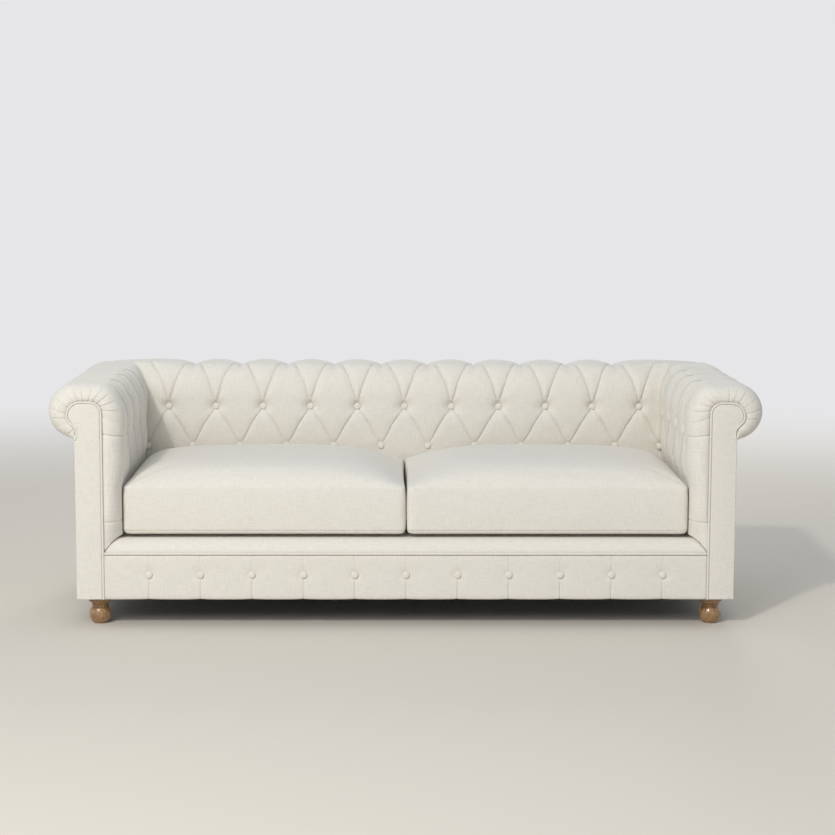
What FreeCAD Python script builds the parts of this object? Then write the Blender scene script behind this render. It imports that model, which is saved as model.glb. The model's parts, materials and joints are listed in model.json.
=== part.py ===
"""Chesterfield sofa: buttoned back and arms, two loose seat cushions, turned bun feet.

Millimetres. +X is to the right as seen from the front, +Y to the back, +Z up. The origin is on the
floor under the middle of the sofa's outline. Left and right are as seen from the front.

Arm and back share one cross-section. It is written in two numbers: the inset, measured level from
the outermost line of the roll towards the seat, and the height above the floor.
"""

import FreeCAD, Part
import Sketcher
import math
import os

# Driving sizes, in millimetres, and counts
SIZES = {
    # whole sofa
    "overall_width": 2210,        # over both arm rolls
    "overall_depth": 930,         # front of the piping to the back roll
    "overall_height": 755,        # top of the rolls
    "fit_gap": 0.5,               # padding clear of what it is wrapped round
    # arm and back cross-section
    "roll_radius": 86,            # outer roll
    "roll_overhang": 85,          # roll past the outside cover
    "cover_board": 5,             # outside cover on its board
    "core_width": 77,             # frame between outside cover and inside padding
    "top_padding": 55,            # padding over the frame's head
    "scroll_padding": 63,         # padding outside the frame's scroll
    "scroll_inner_radius": 34,    # frame's head, seat side
    "scroll_outer_radius": 41,    # frame's head, outer side
    "scroll_under_radius": 30,    # frame's head, curling back under
    "pad_at_deck": 53,            # inside padding beside the cushion and under the buttons
    "pad_at_crest": 76,           # inside padding at the fattest of a pillow
    "pleat_depth": 14,            # pleat half way between two buttons, below the pillows
    "valley_depth": 12,           # pleat on top of the roll
    "roll_pleat": 8,              # pleat down the outside of the roll
    "roll_crown": 2,              # rise of the roll's flat top
    "flute_rise": 15,             # swell of the padding below the upper buttons
    "upper_row_drop": 148,        # top of the rolls down to the upper buttons
    "plain_margin": 21.5,         # padding stays flat this far above the cushions' seam
    "lower_row_rise": 21,         # top of the flat padding up to the lower buttons
    "back_pitches": 11,           # pillows along the back
    "arm_columns": 4,             # upper buttons along each arm
    "arm_first_button": 152,      # front of the arm to its first button
    "front_round": 54,            # rounded front end of the arm padding
    # buttons
    "button_diameter": 22,
    "button_height": 7,
    "button_seat": 24,            # flat under a button
    "button_clear": 6,            # padding stays flat this far past the fattest pillow in a corner
    # base and deck
    "foot_height": 85,
    "dust_cloth": 1,
    "rail_thickness": 25,
    "rail_top": 226,              # seat rails' upper edge above the floor
    "facing_thickness": 13,       # scroll facing on the arm's front
    "facing_front": 2,            # facing behind the piping's front
    "piping_diameter": 7,
    "border_front": 3,            # front border's swell behind the piping's front
    "border_groove": 5,           # depth of its upright pleats
    "border_drop": 1,             # border's top edge below the seat rails' top
    "border_buttons": 11,
    "border_first_button": 141,   # arm's seat side to the first button
    "border_button_drop": 63,     # border's top edge down to its buttons
    "webbing_thickness": 3,
    "webbing_width": 60,
    "lengthwise_straps": 12,
    "crosswise_straps": 3,
    "deck_thickness": 46,
    "lip_depth": 150,             # sprung front edge, front to back
    "lip_round": 52,              # its rounded front
    # frame members
    "post_size": 42,              # square rear posts
    "top_rail_height": 38,
    "tack_rail_rise": 24,         # tack rails above the seat rails
    "tack_rail_height": 35,
    "inner_board": 4,
    "inner_board_drop": 86,       # frame's head down to the inner boards
    "former_thickness": 5,
    "upright_width": 35,
    "upright_straps": 3,          # straps between one upright and the next
    "cross_rail_spacing": 600,
    "cross_rail_drop": 11,        # cross rails below the seat rails' top
    "cross_rail_height": 85,
    "block_leg": 92,
    "block_height": 45,
    # feet and what holds them
    "foot_inset": 148,            # roll's outermost line to the foot's axis
    "foot_setback": 65,           # front to the front foot's axis
    "rear_foot_inset": 136,       # rolls' outermost lines, at side and back, to the rear foot's axis
    "foot_flange_radius": 37,
    "foot_neck_radius": 24,
    "foot_ball_radius": 34.5,
    "foot_base_radius": 18,
    "foot_flange_edge": 13,
    "foot_neck_height": 59.5,
    "bolt_radius": 5,
    "bolt_in_foot": 40,
    "insert_radius": 7,
    "insert_length": 20,
    "bore_gap": 0.1,
    # seat cushions
    "cushion_front": 58,          # front of the sofa to the cushion's face
    "cushion_boxing": 149,        # height of its sides
    "cushion_crown": 68,          # rise of its top
    "cushion_corner": 24,         # radius of its corners, seen from above
    "cushion_ear": 7,             # corners stand out past the drawn-in sides
    "cushion_face": 9,            # swell of its sides between the seams
    "cushion_lift": 0.5,          # clear of the deck
    "cushion_side_gap": 3,
    "cushion_back_gap": 6,
    "cushion_gap": 4,             # between the two
    "cover_thickness": 4,
}

doc = FreeCAD.newDocument("chesterfield_sofa")
sheet = doc.addObject("Spreadsheet::Sheet", "sizes")
for row, (alias, number) in enumerate(SIZES.items(), start=1):
    sheet.set(f"A{row}", alias)
    sheet.set(f"B{row}", str(number))
    sheet.setAlias(f"B{row}", alias)
doc.recompute()

# Lines that several pieces share, as expressions of the sheet
HALF_WIDTH = "sizes.overall_width / 2"
HALF_DEPTH = "sizes.overall_depth / 2"
CORE_OUT = "(sizes.roll_overhang + sizes.cover_board)"
CORE_IN = f"({CORE_OUT} + sizes.core_width)"
PAD_IN = f"({CORE_IN} + sizes.pad_at_deck)"
RAIL_IN = f"({CORE_OUT} + sizes.rail_thickness)"
FACING_BACK = "(sizes.facing_front + sizes.facing_thickness)"
POST_BACK = f"({FACING_BACK} + sizes.rail_thickness)"
POST_IN = f"({RAIL_IN} + sizes.post_size)"
TOP_RAIL_OUT = "(sizes.scroll_padding + sizes.scroll_outer_radius)"
TOP_RAIL_IN = f"({CORE_IN} - sizes.scroll_inner_radius)"
CORE_TOP = "(sizes.overall_height - sizes.top_padding)"
TOP_RAIL_TOP = f"({CORE_TOP} - sizes.former_thickness)"
TOP_RAIL_BOTTOM = f"({TOP_RAIL_TOP} - sizes.top_rail_height)"
TACK_RAIL_BOTTOM = "(sizes.rail_top + sizes.tack_rail_rise)"
TACK_RAIL_TOP = f"({TACK_RAIL_BOTTOM} + sizes.tack_rail_height)"
BOARD_TOP = f"({CORE_TOP} - sizes.inner_board_drop)"
BORDER_TOP = "(sizes.rail_top - sizes.border_drop)"
CROSS_RAIL_TOP = "(sizes.rail_top - sizes.cross_rail_drop)"
FRAME_BOTTOM = "(sizes.foot_height + sizes.dust_cloth)"
UNDER_ROLL = "(sizes.overall_height - 2 * sizes.roll_radius)"
LIP_BOTTOM = "(sizes.rail_top + sizes.webbing_thickness + sizes.fit_gap)"
DECK_BOTTOM = "(sizes.rail_top + 2 * sizes.webbing_thickness + 2 * sizes.fit_gap)"
DECK_TOP = f"({DECK_BOTTOM} + sizes.deck_thickness)"
CUSHION_BOTTOM = f"({DECK_TOP} + sizes.cushion_lift)"
PLAIN_TOP = f"({CUSHION_BOTTOM} + sizes.cushion_boxing + sizes.plain_margin)"
LOWER_ROW = f"({PLAIN_TOP} + sizes.lower_row_rise)"
UPPER_ROW = "(sizes.overall_height - sizes.upper_row_drop)"
CORNER_COLUMN = f"({HALF_WIDTH} - {PAD_IN})"
STRAP_REACH = f"({HALF_WIDTH} - {CORE_IN} - sizes.webbing_width)"
STRAP_PITCH = f"(2 * {STRAP_REACH} / (sizes.lengthwise_straps - 1))"

nodes = {}


def value(expression):
    """Number that an expression of the sheet gives."""
    return float(sheet.evalExpression(expression))


def size(alias):
    """Number in one cell of the sheet."""
    return float(sheet.get(alias))


def keep(label, item):
    """Give an object its name and list it as a sub-part."""
    item.Label = label
    nodes[label] = item
    return item


def bind(item, **expressions):
    """Bind properties to expressions; an underscore in a name stands for a dot."""
    for name, expression in expressions.items():
        item.setExpression(name.replace("_", "."), expression)
    return item


def from_left(near, far):
    """X span between two insets from the left roll's outermost line."""
    return f"-{HALF_WIDTH} + {near}", f"-{HALF_WIDTH} + {far}"


def from_front(near, far):
    """Y span between two distances behind the front."""
    return f"-{HALF_DEPTH} + {near}", f"-{HALF_DEPTH} + {far}"


def from_back(near, far):
    """Y span between two insets from the back roll's outermost line."""
    return f"{HALF_DEPTH} - {far}", f"{HALF_DEPTH} - {near}"


def block(name, across, along, up):
    """Square-edged timber or sheet, spanning three pairs of expressions."""
    box = doc.addObject("Part::Box", name)
    bind(box, Placement_Base_x=across[0], Placement_Base_y=along[0], Placement_Base_z=up[0])
    bind(box, Length=f"{across[1]} - ({across[0]})")
    bind(box, Width=f"{along[1]} - ({along[0]})")
    bind(box, Height=f"{up[1]} - ({up[0]})")
    return box


def cylinder(name, centre, up, radius):
    """Upright round bar or hole at an X and Y, between two heights."""
    bar = doc.addObject("Part::Cylinder", name)
    bind(bar, Placement_Base_x=centre[0], Placement_Base_y=centre[1], Placement_Base_z=up[0])
    bind(bar, Radius=radius, Height=f"{up[1]} - ({up[0]})")
    return bar


def cut(name, base, tool):
    """Base without tool."""
    result = doc.addObject("Part::Cut", name)
    result.Base = base
    result.Tool = tool
    return result


def group(name, members):
    """Separate solids of one node."""
    result = doc.addObject("Part::Compound", name)
    result.Links = members
    return result


def mirrored(name, source):
    """The same piece on the other side of the middle."""
    result = doc.addObject("Part::Mirroring", name)
    result.Source = source
    result.Normal = FreeCAD.Vector(1, 0, 0)
    return result


def shaped(name, shape):
    """Free-form piece with a finished shape."""
    result = doc.addObject("Part::Feature", name)
    result.Shape = shape
    return result


def pair(label, item):
    """Left piece and its mirror image on the right."""
    keep(f"left_{label}", item)
    keep(f"right_{label}", mirrored(f"right_{label}", item))


def origin_plane(body, role):
    """One of a body's own origin planes."""
    return next(item for item in body.Origin.OriginFeatures if item.Role == role)


def new_sketch(body, name, role):
    """Sketch on one of the body's origin planes."""
    sketch = body.newObject("Sketcher::SketchObject", name)
    sketch.AttachmentSupport = [(origin_plane(body, role), "")]
    sketch.MapMode = "FlatFace"
    return sketch


def flat(point):
    """Point of an outline as a vector in its own plane."""
    return FreeCAD.Vector(point[0], point[1], 0)


def pin(sketch, edge, end, expressions):
    """Bind a vertex of a sketch to a pair of expressions."""
    for axis, expression in zip("XY", expressions):
        number = Sketcher.Constraint(f"Distance{axis}", -1, 1, edge, end, value(expression))
        sketch.setExpression(f"Constraints[{sketch.addConstraint(number)}]", expression)


def draw_polygon(sketch, corners):
    """Closed polygon whose corners are bound to pairs of expressions."""
    points = [(value(a), value(b)) for a, b in corners]
    count = len(points)
    first = sketch.GeometryCount
    for start, end in zip(points, points[1:] + points[:1]):
        sketch.addGeometry(Part.LineSegment(flat(start), flat(end)), False)
    for step, corner in enumerate(corners):
        following = first + (step + 1) % count
        sketch.addConstraint(Sketcher.Constraint("Coincident", first + step, 2, following, 1))
        pin(sketch, first + step, 1, corner)


def pad(body, sketch, length):
    """Extrude a sketch by an expression."""
    feature = body.newObject("PartDesign::Pad", "pad")
    feature.Profile = sketch
    bind(feature, Length=length)
    return feature


# Frame head: the scroll that arm and back padding is wrapped round

HEAD = {
    "outer": value(CORE_OUT),
    "inner": value(CORE_IN),
    "top": value(CORE_TOP),
    "tip": size("scroll_padding"),
    "inner_radius": size("scroll_inner_radius"),
    "outer_radius": size("scroll_outer_radius"),
    "under_radius": size("scroll_under_radius"),
}
DIAGONAL = math.sqrt(0.5)


def head_path(offset, low_end, outer_line):
    """Edges of the frame head, grown by an offset, from low_end on the seat side over the top.

    The path ends where its slanting underside meets the upright outer_line.
    """
    inner_r = HEAD["inner_radius"] + offset
    outer_r = HEAD["outer_radius"] + offset
    under_r = HEAD["under_radius"] + offset
    inner_c = (HEAD["inner"] - HEAD["inner_radius"], HEAD["top"] - HEAD["inner_radius"])
    outer_c = (HEAD["tip"] + HEAD["outer_radius"], HEAD["top"] - HEAD["outer_radius"])
    under_c = (HEAD["tip"] + HEAD["under_radius"], outer_c[1])
    low = (inner_c[0] + inner_r, low_end)
    shoulder = (inner_c[0] + inner_r, inner_c[1])
    top_in = (inner_c[0], inner_c[1] + inner_r)
    top_out = (outer_c[0], outer_c[1] + outer_r)
    tip = (outer_c[0] - outer_r, outer_c[1])
    under = (under_c[0] - under_r * DIAGONAL, under_c[1] - under_r * DIAGONAL)
    end = (outer_line, under[1] - (outer_line - under[0]))
    eighth = math.radians(22.5)
    return [
        (low, None, shoulder),
        (shoulder, (inner_c[0] + inner_r * DIAGONAL, inner_c[1] + inner_r * DIAGONAL), top_in),
        (top_in, None, top_out),
        (top_out, (outer_c[0] - outer_r * DIAGONAL, outer_c[1] + outer_r * DIAGONAL), tip),
        (tip, (under_c[0] - under_r * math.cos(eighth), under_c[1] - under_r * math.sin(eighth)), under),
        (under, None, end),
    ]


def closed(path, corners):
    """Close a path through further corners."""
    points = [path[-1][2]] + corners + [path[0][0]]
    return path + [(a, None, b) for a, b in zip(points, points[1:])]


def wire(path, place):
    """Wire of straight and round edges, each point put in space by place."""
    edges = []
    for start, middle, end in path:
        if middle is None:
            edges.append(Part.LineSegment(place(start), place(end)).toShape())
        else:
            edges.append(Part.Arc(place(start), place(middle), place(end)).toShape())
    return Part.Wire(edges)


def on_left_arm(behind_front):
    """Placing of section points on the left arm, at a distance behind the front."""
    edge = -value(HALF_WIDTH)
    line = behind_front - value(HALF_DEPTH)
    return lambda point: FreeCAD.Vector(edge + point[0], line, point[1])


def on_back(across):
    """Placing of section points on the back, at an X."""
    edge = value(HALF_DEPTH)
    return lambda point: FreeCAD.Vector(across, edge - point[0], point[1])


def on_mitre(side, arm):
    """Placing of section points on the corner where arm and back meet, a hair to one side of it."""
    half_gap = size("fit_gap") / 2
    edge = value(HALF_WIDTH)
    line = value(HALF_DEPTH) - (half_gap if arm else 0)
    inward = 0 if arm else half_gap
    return lambda point: FreeCAD.Vector(side * (edge - inward - point[0]), line - point[0], point[1])


def mitre_tool(arm):
    """Prism that takes the left corner beyond the mitre off an arm or the back."""
    reach = value(PAD_IN) * 2
    out = size("roll_radius")
    shift = size("fit_gap") / 2
    other = (reach, -out) if arm else (-out, reach)
    corners = [(-out, -out), (reach, reach), other]
    lean = (0, shift) if arm else (shift, 0)
    edge = -value(HALF_WIDTH)
    line = value(HALF_DEPTH)
    points = [FreeCAD.Vector(edge + a + lean[0], line - b - lean[1], 0) for a, b in corners]
    face = Part.Face(Part.makePolygon(points + points[:1]))
    return face.extrude(FreeCAD.Vector(0, 0, 2 * size("overall_height")))


def mirror_shape(shape):
    """Shape on the other side of the middle."""
    return shape.mirror(FreeCAD.Vector(0, 0, 0), FreeCAD.Vector(1, 0, 0))


# Timber frame

LOW_RAIL = (FRAME_BOTTOM, "sizes.rail_top")
BETWEEN_POSTS = (f"-{HALF_WIDTH} + {CORE_IN}", f"{HALF_WIDTH} - {CORE_IN}")


def seat_rails():
    """Box frame under the seat, with two rails across it."""
    keep("front_seat_rail", block("front_rail", BETWEEN_POSTS, from_front(FACING_BACK, POST_BACK), LOW_RAIL))
    between = (f"-{HALF_WIDTH} + {RAIL_IN}", f"{HALF_WIDTH} - {RAIL_IN}")
    keep("rear_seat_rail", block("rear_rail", between, from_back(CORE_OUT, RAIL_IN), LOW_RAIL))
    front_to_back = (f"-{HALF_DEPTH} + {POST_BACK}", f"{HALF_DEPTH} - {CORE_OUT}")
    pair("seat_rail", block("left_rail", from_left(CORE_OUT, RAIL_IN), front_to_back, LOW_RAIL))
    inside = (f"-{HALF_DEPTH} + {POST_BACK}", f"{HALF_DEPTH} - {RAIL_IN}")
    up = (f"{CROSS_RAIL_TOP} - sizes.cross_rail_height", CROSS_RAIL_TOP)
    half = "sizes.cross_rail_spacing / 2"
    across = (f"-{half} - sizes.rail_thickness / 2", f"-{half} + sizes.rail_thickness / 2")
    left = block("left_cross_rail", across, inside, up)
    keep("seat_cross_rails", group("cross_rails", [left, mirrored("right_cross_rail", left)]))


def corner_blocks():
    """Three-cornered blocks behind the front posts, bored for the foot inserts."""
    body = doc.addObject("PartDesign::Body", "left_corner_block")
    sketch = new_sketch(body, "block_plan", "XY_Plane")
    near = f"-{HALF_WIDTH} + {RAIL_IN}"
    front = f"-{HALF_DEPTH} + {POST_BACK}"
    draw_polygon(sketch, [
        (near, front),
        (f"{near} + sizes.block_leg", front),
        (near, f"{front} + sizes.block_leg"),
    ])
    hole = sketch.addGeometry(Part.Circle(flat((0, 0)), flat((0, 0)).add(FreeCAD.Vector(0, 0, 1)), 1), False)
    pin(sketch, hole, 3, FRONT_FOOT)
    ring = sketch.addConstraint(Sketcher.Constraint("Radius", hole, 1.0))
    sketch.setExpression(f"Constraints[{ring}]", "sizes.insert_radius + sizes.bore_gap")
    pad(body, sketch, "sizes.block_height")
    bind(body, Placement_Base_z=FRAME_BOTTOM)
    keep("corner_blocks", group("blocks", [body, mirrored("right_corner_block", body)]))


def front_posts():
    """Scroll-headed boards that stand at the front of the arms."""
    body = doc.addObject("PartDesign::Body", "left_front_post")
    sketch = new_sketch(body, "post_outline", "XZ_Plane")
    bottom = value(FRAME_BOTTOM)
    path = closed(head_path(0, bottom, HEAD["outer"]), [(HEAD["outer"], bottom)])
    draw_scroll(sketch, path)
    pad(body, sketch, "sizes.rail_thickness")
    bind(body, Placement_Base_x=f"-{HALF_WIDTH}", Placement_Base_y=f"-{HALF_DEPTH} + {POST_BACK}")
    pair("arm_front_post", body)


def draw_scroll(sketch, path):
    """Scroll outline as lines and arcs that stay joined."""
    count = len(path)
    for start, middle, end in path:
        if middle is None:
            sketch.addGeometry(Part.LineSegment(flat(start), flat(end)), False)
        else:
            sketch.addGeometry(Part.Arc(flat(start), flat(middle), flat(end)), False)
    for edge in range(count):
        sketch.addConstraint(Sketcher.Constraint("Coincident", edge, 2, (edge + 1) % count, 1))


def rear_posts():
    """Square posts in the back corners, bored from below for the foot inserts."""
    post = block("rear_post_bar", from_left(RAIL_IN, POST_IN), from_back(RAIL_IN, POST_IN),
                 (FRAME_BOTTOM, TOP_RAIL_BOTTOM))
    depth = (FRAME_BOTTOM, f"{FRAME_BOTTOM} + sizes.block_height")
    bore = cylinder("rear_post_bore", REAR_FOOT, depth, "sizes.insert_radius + sizes.bore_gap")
    pair("arm_rear_post", cut("left_rear_post", post, bore))


def top_rails():
    """Rails inside the rolls; the arms' rails lie on the rear posts."""
    up = (TOP_RAIL_BOTTOM, TOP_RAIL_TOP)
    along = (f"-{HALF_DEPTH} + {POST_BACK}", f"{HALF_DEPTH} - {TOP_RAIL_OUT}")
    pair("arm_top_rail", block("left_top_rail", from_left(TOP_RAIL_OUT, TOP_RAIL_IN), along, up))
    across = (f"-{HALF_WIDTH} + {TOP_RAIL_IN}", f"{HALF_WIDTH} - {TOP_RAIL_IN}")
    keep("back_top_rail", block("rear_top_rail", across, from_back(TOP_RAIL_OUT, TOP_RAIL_IN), up))


def tack_rails():
    """Low rails that the inside covers are tacked to."""
    up = (TACK_RAIL_BOTTOM, TACK_RAIL_TOP)
    inner = f"({CORE_IN} - sizes.rail_thickness)"
    along = (f"-{HALF_DEPTH} + {POST_BACK}", f"{HALF_DEPTH} - {CORE_IN}")
    pair("arm_tack_rail", block("left_tack_rail", from_left(inner, CORE_IN), along, up))
    across = (f"-{HALF_WIDTH} + {POST_IN}", f"{HALF_WIDTH} - {POST_IN}")
    keep("back_tack_rail", block("rear_tack_rail", across, from_back(inner, CORE_IN), up))


def back_uprights():
    """Three uprights from the rear seat rail to the back's top rail, each between two straps."""
    along = from_back(f"({CORE_OUT} + sizes.post_size / 6)", TOP_RAIL_IN)
    up = ("sizes.rail_top", TOP_RAIL_BOTTOM)
    bars = []
    for step, name in ((-1, "left_upright"), (0, "middle_upright"), (1, "right_upright")):
        middle = f"{step} * sizes.upright_straps * {STRAP_PITCH}"
        across = (f"{middle} - sizes.upright_width / 2", f"{middle} + sizes.upright_width / 2")
        bars.append(block(name, across, along, up))
    keep("back_uprights", group("uprights", bars))


def inner_boards():
    """Thin boards behind the inside padding."""
    inner = f"({CORE_IN} - sizes.inner_board)"
    up = (TACK_RAIL_TOP, BOARD_TOP)
    along = (f"-{HALF_DEPTH} + {POST_BACK}", f"{HALF_DEPTH} - {CORE_IN}")
    pair("arm_inner_board", block("left_inner_board", from_left(inner, CORE_IN), along, up))
    across = (f"-{HALF_WIDTH} + {inner}", f"{HALF_WIDTH} - {inner}")
    keep("back_inner_board", block("rear_inner_board", across, from_back(inner, CORE_IN), up))


def former_wire(place):
    """Bent ply that gives the roll its scroll: the frame head's line and the same line inside it."""
    low = value(BOARD_TOP)
    lip = HEAD["outer"] - size("former_thickness")
    outside = head_path(0, low, lip)
    inside = head_path(-size("former_thickness"), low, lip + size("former_thickness"))
    back = [(end, middle, start) for start, middle, end in reversed(inside)]
    ends = [(outside[-1][2], None, back[0][0])]
    return wire(outside + ends + back + [(back[-1][2], None, outside[0][0])], place)


def roll_formers():
    """Bent ply formers along arms and back, mitred at the corners."""
    length = size("overall_depth") - value(POST_BACK)
    arm = Part.Face(former_wire(on_left_arm(value(POST_BACK)))).extrude(FreeCAD.Vector(0, length, 0))
    pair("arm_roll_former", shaped("left_former", arm.cut(mitre_tool(arm=True))))
    half = value(HALF_WIDTH)
    back = Part.Face(former_wire(on_back(-half))).extrude(FreeCAD.Vector(2 * half, 0, 0))
    tool = mitre_tool(arm=False)
    keep("back_roll_former", shaped("back_former", back.cut(tool).cut(mirror_shape(tool))))


# Feet

FRONT_FOOT = (f"-{HALF_WIDTH} + sizes.foot_inset", f"-{HALF_DEPTH} + sizes.foot_setback")
REAR_FOOT = (f"-{HALF_WIDTH} + sizes.rear_foot_inset", f"{HALF_DEPTH} - sizes.rear_foot_inset")


def bun_foot(name, centre):
    """Turned foot: flared flange, neck ring and flattened ball, bored for its bolt."""
    body = doc.addObject("PartDesign::Body", name)
    sketch = new_sketch(body, "turning", "XZ_Plane")
    bore = "sizes.bolt_radius + sizes.bore_gap"
    edge = "sizes.foot_height - sizes.foot_flange_edge"
    ball_middle = "sqrt(sizes.foot_ball_radius ^ 2 - sizes.foot_base_radius ^ 2)"
    ball_top = f"({ball_middle} + sqrt(sizes.foot_ball_radius ^ 2 - (sizes.foot_neck_radius - 1) ^ 2))"
    corners = [
        ("0", "0"),
        ("sizes.foot_base_radius", "0"),
        ("sizes.foot_neck_radius - 1", ball_top),
        ("sizes.foot_neck_radius + 2", ball_top),
        ("sizes.foot_neck_radius + 2", "sizes.foot_neck_height"),
        ("sizes.foot_neck_radius", "sizes.foot_neck_height"),
        ("sizes.foot_flange_radius", edge),
        ("sizes.foot_flange_radius", "sizes.foot_height"),
        (bore, "sizes.foot_height"),
        (bore, "sizes.foot_height - sizes.bolt_in_foot - 1"),
        ("0", "sizes.foot_height - sizes.bolt_in_foot - 1"),
    ]
    points = [(value(a), value(b)) for a, b in corners]
    ball = (size("foot_ball_radius"), value(ball_middle))
    count = len(points)
    for step in range(count):
        start, end = points[step], points[(step + 1) % count]
        if step == 1:
            sketch.addGeometry(Part.Arc(flat(start), flat(ball), flat(end)), False)
        else:
            sketch.addGeometry(Part.LineSegment(flat(start), flat(end)), False)
    for step in range(count):
        sketch.addConstraint(Sketcher.Constraint("Coincident", step, 2, (step + 1) % count, 1))
    turned = body.newObject("PartDesign::Revolution", "turned")
    turned.Profile = sketch
    turned.ReferenceAxis = (sketch, ["V_Axis"])
    turned.Angle = 360
    return bind(body, Placement_Base_x=centre[0], Placement_Base_y=centre[1])


def feet():
    """Four feet, each on a bolt that screws into an insert in the frame above it."""
    for end, centre in (("front", FRONT_FOOT), ("rear", REAR_FOOT)):
        left = bun_foot(f"{end}_left_bun", centre)
        keep(f"{end}_left_foot", left)
        keep(f"{end}_right_foot", mirrored(f"{end}_right_bun", left))
    top = f"({FRAME_BOTTOM} + sizes.insert_length)"
    bolts, inserts = [], []
    for end, centre in (("front", FRONT_FOOT), ("rear", REAR_FOOT)):
        span = ("(sizes.foot_height - sizes.bolt_in_foot)", top)
        bolt = cylinder(f"{end}_bolt", centre, span, "sizes.bolt_radius")
        bolts += [bolt, mirrored(f"{end}_bolt_right", bolt)]
        sleeve = cylinder(f"{end}_sleeve", centre, (FRAME_BOTTOM, top), "sizes.insert_radius")
        hole = cylinder(f"{end}_hole", centre, (FRAME_BOTTOM, top), "sizes.bolt_radius + sizes.bore_gap")
        insert = cut(f"{end}_insert", sleeve, hole)
        inserts += [insert, mirrored(f"{end}_insert_right", insert)]
    keep("foot_bolts", group("bolts", bolts))
    keep("foot_inserts", group("inserts", inserts))


def dust_cover():
    """Black cloth under the frame, with a hole for each foot's bolt."""
    across = (f"-{HALF_WIDTH} + {CORE_OUT}", f"{HALF_WIDTH} - {CORE_OUT}")
    along = (f"-{HALF_DEPTH} + {FACING_BACK}", f"{HALF_DEPTH} - {CORE_OUT}")
    up = ("sizes.foot_height", FRAME_BOTTOM)
    cloth = block("dust_cloth", across, along, up)
    holes = []
    for end, centre in (("front", FRONT_FOOT), ("rear", REAR_FOOT)):
        hole = cylinder(f"{end}_cloth_hole", centre, up, "sizes.insert_radius")
        holes += [hole, mirrored(f"{end}_cloth_hole_right", hole)]
    keep("dust_cover", cut("holed_dust_cloth", cloth, group("cloth_holes", holes)))


# Tufted padding of arms and back


def rise_arc(start, end, rise):
    """Edge from start to end that swells outwards by a rise; none makes it straight."""
    if not rise:
        return (start, None, end)
    run, climb = end[0] - start[0], end[1] - start[1]
    length = math.hypot(run, climb)
    middle = ((start[0] + end[0]) / 2 + rise * climb / length, (start[1] + end[1]) / 2 - rise * run / length)
    return (start, middle, end)


class Tuft:
    """Lines of the padded cross-section that every section is drawn from."""

    seat = value(PAD_IN)
    crest = value(CORE_IN) + size("pad_at_crest")
    top = size("overall_height") - size("roll_crown")
    radius = size("roll_radius")
    centre = size("overall_height") - size("roll_radius")
    under = (value(CORE_OUT), value(UNDER_ROLL))
    deck = (value(PAD_IN), value(DECK_TOP))
    plain = (value(PAD_IN), value(PLAIN_TOP))
    half_seat = size("button_seat") / 2
    quarter_rise = size("roll_radius") * (1 - DIAGONAL)
    top_in = crest - size("roll_radius")


def upper_section():
    """Section through an upper button: pillow below it and a pillow over the roll."""
    t = Tuft
    upper = value(UPPER_ROW)
    points = [
        t.deck, t.plain,
        (t.seat, upper - t.half_seat), (t.seat, upper), (t.seat, upper + t.half_seat),
        (t.top_in, t.top), (t.radius, t.top), (0, t.centre), t.under,
    ]
    shoulder = 1.8 * t.quarter_rise
    rises = [0, size("flute_rise"), 0, 0, shoulder, size("roll_crown"), t.quarter_rise, t.quarter_rise]
    return points, rises


def lower_section():
    """Section through a lower button: pleat below it, pillow above and a pleat over the roll."""
    t = Tuft
    low = value(LOWER_ROW) + t.half_seat
    valley = t.top - size("valley_depth")
    groove = size("roll_pleat")
    middle = (t.top_in + t.radius) / 2
    points = [
        t.deck, t.plain,
        (t.seat, low), (t.crest - 2, t.centre - t.radius / 6), (middle, valley),
        (t.radius + t.radius / 5, valley + 1), (t.radius, valley), (groove, t.centre), t.under,
    ]
    rises = [0, 0, size("flute_rise"), 1.6 * t.quarter_rise, 0, 0, t.quarter_rise - 2, t.quarter_rise]
    return points, rises


def between_section():
    """Section half way between an upper and a lower button, across both pleats."""
    t = Tuft
    pleat = t.crest - size("pleat_depth")
    low = (value(UPPER_ROW) + value(LOWER_ROW)) / 2
    points = [
        t.deck, t.plain,
        (pleat, low), (t.crest + 1, value(UPPER_ROW) + t.half_seat), (pleat - 6, t.centre + 0.4 * t.radius),
        (t.top_in, t.top - 3), (t.radius, t.top - 3), (3, t.centre), t.under,
    ]
    swell = size("flute_rise") / 2
    rises = [0, swell, swell, swell, 2 * swell, size("roll_crown"), t.quarter_rise, t.quarter_rise]
    return points, rises


def smooth_section():
    """Section of the plain stretch at the front of an arm."""
    t = Tuft
    upper = value(UPPER_ROW)
    points = [
        t.deck, t.plain,
        (t.crest - 10, upper - 2 * t.half_seat), (t.crest - 3, upper + 2 * t.half_seat),
        (t.crest - 9, t.centre + 0.4 * t.radius),
        (t.top_in, t.top), (t.radius, t.top), (0, t.centre), t.under,
    ]
    shoulder = 0.53 * t.quarter_rise
    rises = [0, 4, 1, 4, shoulder, size("roll_crown"), t.quarter_rise, t.quarter_rise]
    return points, rises


def rounded_section(share):
    """Smooth section drawn in towards the frame head, for the arm's rounded front end."""
    points, rises = smooth_section()
    inner, top, tip = HEAD["inner"], HEAD["top"], HEAD["tip"]
    shoulder = top - HEAD["inner_radius"]
    anchors = [
        (inner, value(LIP_BOTTOM)), (inner, points[1][1]), (inner, points[2][1]),
        (inner, shoulder - 0.6 * HEAD["inner_radius"]), (inner, shoulder),
        (inner - HEAD["inner_radius"], top), (tip + HEAD["outer_radius"], top),
        (tip, top - HEAD["outer_radius"]), (points[8][0], points[8][1] + size("roll_radius") / 10),
    ]
    drawn = [
        (a[0] + share * (p[0] - a[0]), a[1] + share * (p[1] - a[1])) for a, p in zip(anchors, points)
    ]
    return drawn, [HEAD_RISE[step] + share * (rise - HEAD_RISE[step]) for step, rise in enumerate(rises)]


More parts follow.
